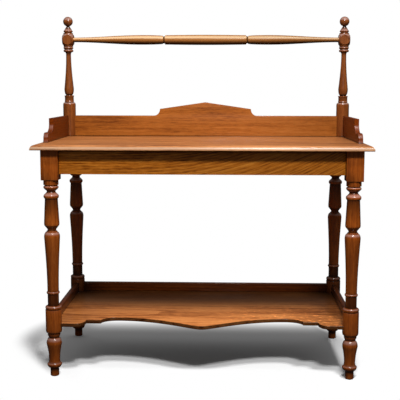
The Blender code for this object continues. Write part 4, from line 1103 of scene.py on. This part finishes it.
def finial_outline():
    """The finial, from the crown of the ball down to its spigot."""
    neck_angle = math.pi - math.asin(FINIAL_NECK_RADIUS / FINIAL_BALL_RADIUS)
    neck_z = FINIAL_FOOT_Z + FINIAL_BASE[1] + FINIAL_COLLAR[1] + FINIAL_CONE[1]
    turning = Turning(neck_z + FINIAL_BALL_RADIUS * (1.0 - math.cos(neck_angle)))
    turning.ball(FINIAL_BALL_RADIUS, 0.0, neck_angle, FINIAL_BALL_STEPS)
    turning.run(*FINIAL_CONE)
    turning.bead(*FINIAL_COLLAR, FINIAL_BASE[0])
    turning.run(*FINIAL_BASE)
    turning.step(FINIAL_SPIGOT[0])
    turning.run(*FINIAL_SPIGOT)
    return turning.finish()


for side, x_sign in SIDES.items():
    finial = lathe(finial_outline())
    bmesh.ops.translate(finial, vec=(x_sign * POST_X, POST_Y, 0.0), verts=finial.verts)
    # Painted highlights on crests that lean up, and painted shade beneath
    wood = polished_wood(
        f"mahogany_finial_{side}", "Z", POST_TONES, (0.5, 0.2 * x_sign, 0.3), **TURNED_GRAIN,
        painted_light=POST_PAINTED_LIGHT,
    )
    fit_piece(f"finial_{side}", as_mesh(finial, "finial"), wood)


# Towel rail
# One turned rail whose thin ends are glued in blind holes in the posts' blocks. It swells towards a long
# middle part, which a notch sets off at each end.
RAIL_END_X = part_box("towel_rail")[1].x
RAIL_Z = middle_of("towel_rail").z
RAIL_TIP = (0.0083, 0.012)
RAIL_SWELL_RADIUS = 0.0171
RAIL_SWELL_STEPS = 24
RAIL_SHOULDER = (0.0142, 0.074)
RAIL_SHOULDER_STEPS = 14
RAIL_NOTCH = (0.0115, 0.0045)
RAIL_MIDDLE_END = (0.0167, 0.0045)
RAIL_MIDDLE = (0.0181, 0.146)
RAIL_MIDDLE_STEPS = 16
RAIL_TONES = ((0.190, 0.067, 0.015), (0.430, 0.166, 0.038), (0.570, 0.254, 0.070))
# A painted cream highlight for the rail's crest
RAIL_HIGHLIGHT = (0.94, 0.66, 0.38)


def rail_outline():
    """The rail from one end to its middle, and the same again reflected."""
    others = (RAIL_TIP, RAIL_SHOULDER, RAIL_NOTCH, RAIL_MIDDLE_END, RAIL_MIDDLE)
    turning = Turning(RAIL_END_X, RAIL_TIP[0])
    turning.run(*RAIL_TIP)
    turning.ogee(RAIL_SWELL_RADIUS, RAIL_END_X - sum(length for _, length in others), RAIL_SWELL_STEPS)
    turning.arc(*RAIL_SHOULDER, "upright", RAIL_SHOULDER_STEPS)
    turning.run(*RAIL_NOTCH)
    turning.run(*RAIL_MIDDLE_END)
    turning.sweep(*RAIL_MIDDLE, RAIL_MIDDLE_STEPS)
    half = turning.points
    return half + [(radius, -height) for radius, height in reversed(half[:-1])]


rail = lathe(rail_outline())
bmesh.ops.rotate(rail, matrix=Matrix.Rotation(math.pi / 2, 3, "Y"), verts=rail.verts)
bmesh.ops.translate(rail, vec=(0.0, POST_Y, RAIL_Z), verts=rail.verts)
# Painted shade towards the right end, a painted cream highlight along the crest, and dark painted shade
# beneath
rail_wood = polished_wood(
    "mahogany_rail", "X", RAIL_TONES, (0.0, 0.4, 0.2), figure=0.10, gloss=0.10, streaks=0.14, flecks=0.06,
    pores=0.06, shade_ramp=("X", -0.35, 0.40, 0.66), painted_light=(RAIL_HIGHLIGHT, 0.70, 0.08, 0.50),
)
fit_piece("towel_rail", as_mesh(rail, "towel_rail"), rail_wood)


# Gallery
# Three boards doweled to the top and housed in the posts. The back one rises in coves to a low peak, and
# the side ones end in a scooped step and a rounded nose.
panel_low, panel_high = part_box("back_panel")
side_low, side_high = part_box("gallery_side_right")
GALLERY_Z = panel_low.z
GALLERY_THICKNESS = panel_high.y - panel_low.y
GALLERY_HEIGHT = side_high.z - side_low.z
# Painted shade along the foot of the gallery boards, where they meet the top
GALLERY_SHADE_LINE = (("Z", GALLERY_Z, 0.005, 0.30),)
PANEL_END_X = panel_high.x
PANEL_ARRIS = 0.0014
PANEL_TONES = ((0.160, 0.039, 0.005), (0.365, 0.106, 0.014), (0.475, 0.156, 0.028))
PEDIMENT_X = 0.1665
PEDIMENT_COVE = 0.022
PEDIMENT_RISE = 0.0245
PEDIMENT_STEPS = 10
SIDE_X = middle_of("gallery_side_right").x
SIDE_BACK_Y = side_high.y
SIDE_NOSE_Y = side_low.y
SIDE_CORNER_Y = -0.050
SIDE_COVE_Y = -0.097
SIDE_BROW_Y = -0.144
SIDE_SCOOP_Z = 0.057
SIDE_COVE_Z = 0.029
SIDE_SCROLL_Z = 0.031
SIDE_NOSE_RADIUS = 0.021
SIDE_SCOOP_STEPS = 12
SIDE_NOSE_STEPS = 10
SIDE_ROUND = 0.0055
SIDE_TONES = ((0.066, 0.011, 0.001), (0.152, 0.026, 0.001), (0.230, 0.046, 0.003))


def off_the_top(middle):
    """True for an edge of a gallery board that doesn't lie on the top."""
    return middle.y > WELD


panel_half = [
    (PANEL_END_X, 0.0),
    (PANEL_END_X, GALLERY_HEIGHT),
    (PEDIMENT_X + PEDIMENT_COVE, GALLERY_HEIGHT),
]
cove_end = (PEDIMENT_X, GALLERY_HEIGHT + PEDIMENT_RISE)
panel_half += quarter(panel_half[-1], cove_end, True, PEDIMENT_STEPS)
panel_peak = (0.0, GALLERY_HEIGHT + 2 * PEDIMENT_RISE)
panel_outline = panel_half + [panel_peak] + [(-x, z) for x, z in reversed(panel_half)]
upright_across = Matrix.Rotation(math.pi / 2, 4, "X")
panel_place = Matrix.Translation((0.0, POST_Y, GALLERY_Z)) @ upright_across
back_panel = sawn_board(panel_outline, panel_place, GALLERY_THICKNESS, PANEL_ARRIS, 3, off_the_top)
# Painted shade towards the right end and along the foot
panel_wood = polished_wood(
    "mahogany_back_panel", "X", PANEL_TONES, (0.35, 0.02, -0.83), rings=16.0, sway=0.05, clouds=0.36,
    streaks=0.30, flecks=0.20, shade_ramp=("X", 0.10, 0.48, 0.78), shaded_lines=GALLERY_SHADE_LINE,
)
fit_piece("back_panel", as_mesh(back_panel, "back_panel"), panel_wood)

scoop_start = (SIDE_CORNER_Y, SIDE_SCOOP_Z)
brow = (SIDE_BROW_Y + SIDE_NOSE_RADIUS, SIDE_SCROLL_Z)
side_outline = [
    (SIDE_BACK_Y, 0.0),
    (SIDE_BACK_Y, GALLERY_HEIGHT),
    (SIDE_CORNER_Y, GALLERY_HEIGHT),
    scoop_start,
]
side_outline += quarter(scoop_start, (SIDE_COVE_Y, SIDE_COVE_Z), False, SIDE_SCOOP_STEPS)
side_outline += [(SIDE_COVE_Y, SIDE_SCROLL_Z), brow]
nose_end = (SIDE_BROW_Y, SIDE_SCROLL_Z - SIDE_NOSE_RADIUS)
side_outline += quarter(brow, nose_end, True, SIDE_NOSE_STEPS)
side_outline.append((SIDE_NOSE_Y, 0.0))
upright_along = Matrix.Rotation(math.pi / 2, 4, "Z") @ upright_across
for side, x_sign in SIDES.items():
    side_place = Matrix.Translation((x_sign * SIDE_X, 0.0, GALLERY_Z)) @ upright_along
    gallery_side = sawn_board(side_outline, side_place, GALLERY_THICKNESS, SIDE_ROUND, 5, off_the_top)
    # Painted shade along the foot and beneath, and a faint painted highlight on crests that lean up
    wood = polished_wood(
        f"mahogany_side_{side}", "Y", SIDE_TONES, (0.1, 0.3 * x_sign, 0.2), figure=0.10, gloss=0.15,
        streaks=0.14, shaded_lines=GALLERY_SHADE_LINE, painted_light=(PINK_HIGHLIGHT, 0.20, 0.60, 0.55),
    )
    fit_piece(f"gallery_side_{side}", as_mesh(gallery_side, "gallery_side"), wood)


# Glue blocks and dowels
# Short deal blocks rubbed into the corners under the top, sawn and left bare, and beech dowels that hold
# the gallery boards to the top. They show only from below or with the stand taken apart.
DEAL_TONES = ((0.360, 0.200, 0.085), (0.520, 0.340, 0.180), (0.640, 0.460, 0.270))
BEECH_TONES = ((0.360, 0.210, 0.110), (0.480, 0.300, 0.170), (0.580, 0.390, 0.240))
BARE_GRAIN = {"rings": 60.0, "gloss": 0.0}
for node_name, cad_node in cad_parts.items():
    if node_name.startswith("glue_block"):
        along = "Y" if "left" in node_name or "right" in node_name else "X"
        wood = polished_wood("deal_" + node_name, along, DEAL_TONES, **BARE_GRAIN)
        fit_piece(node_name, eased_copy(node_name, BOARD_ARRIS), wood)
    elif node_name.startswith("dowel"):
        wood = polished_wood("beech_" + node_name, "Z", BEECH_TONES, **BARE_GRAIN)
        cad_node.data.materials.clear()
        cad_node.data.materials.append(wood)
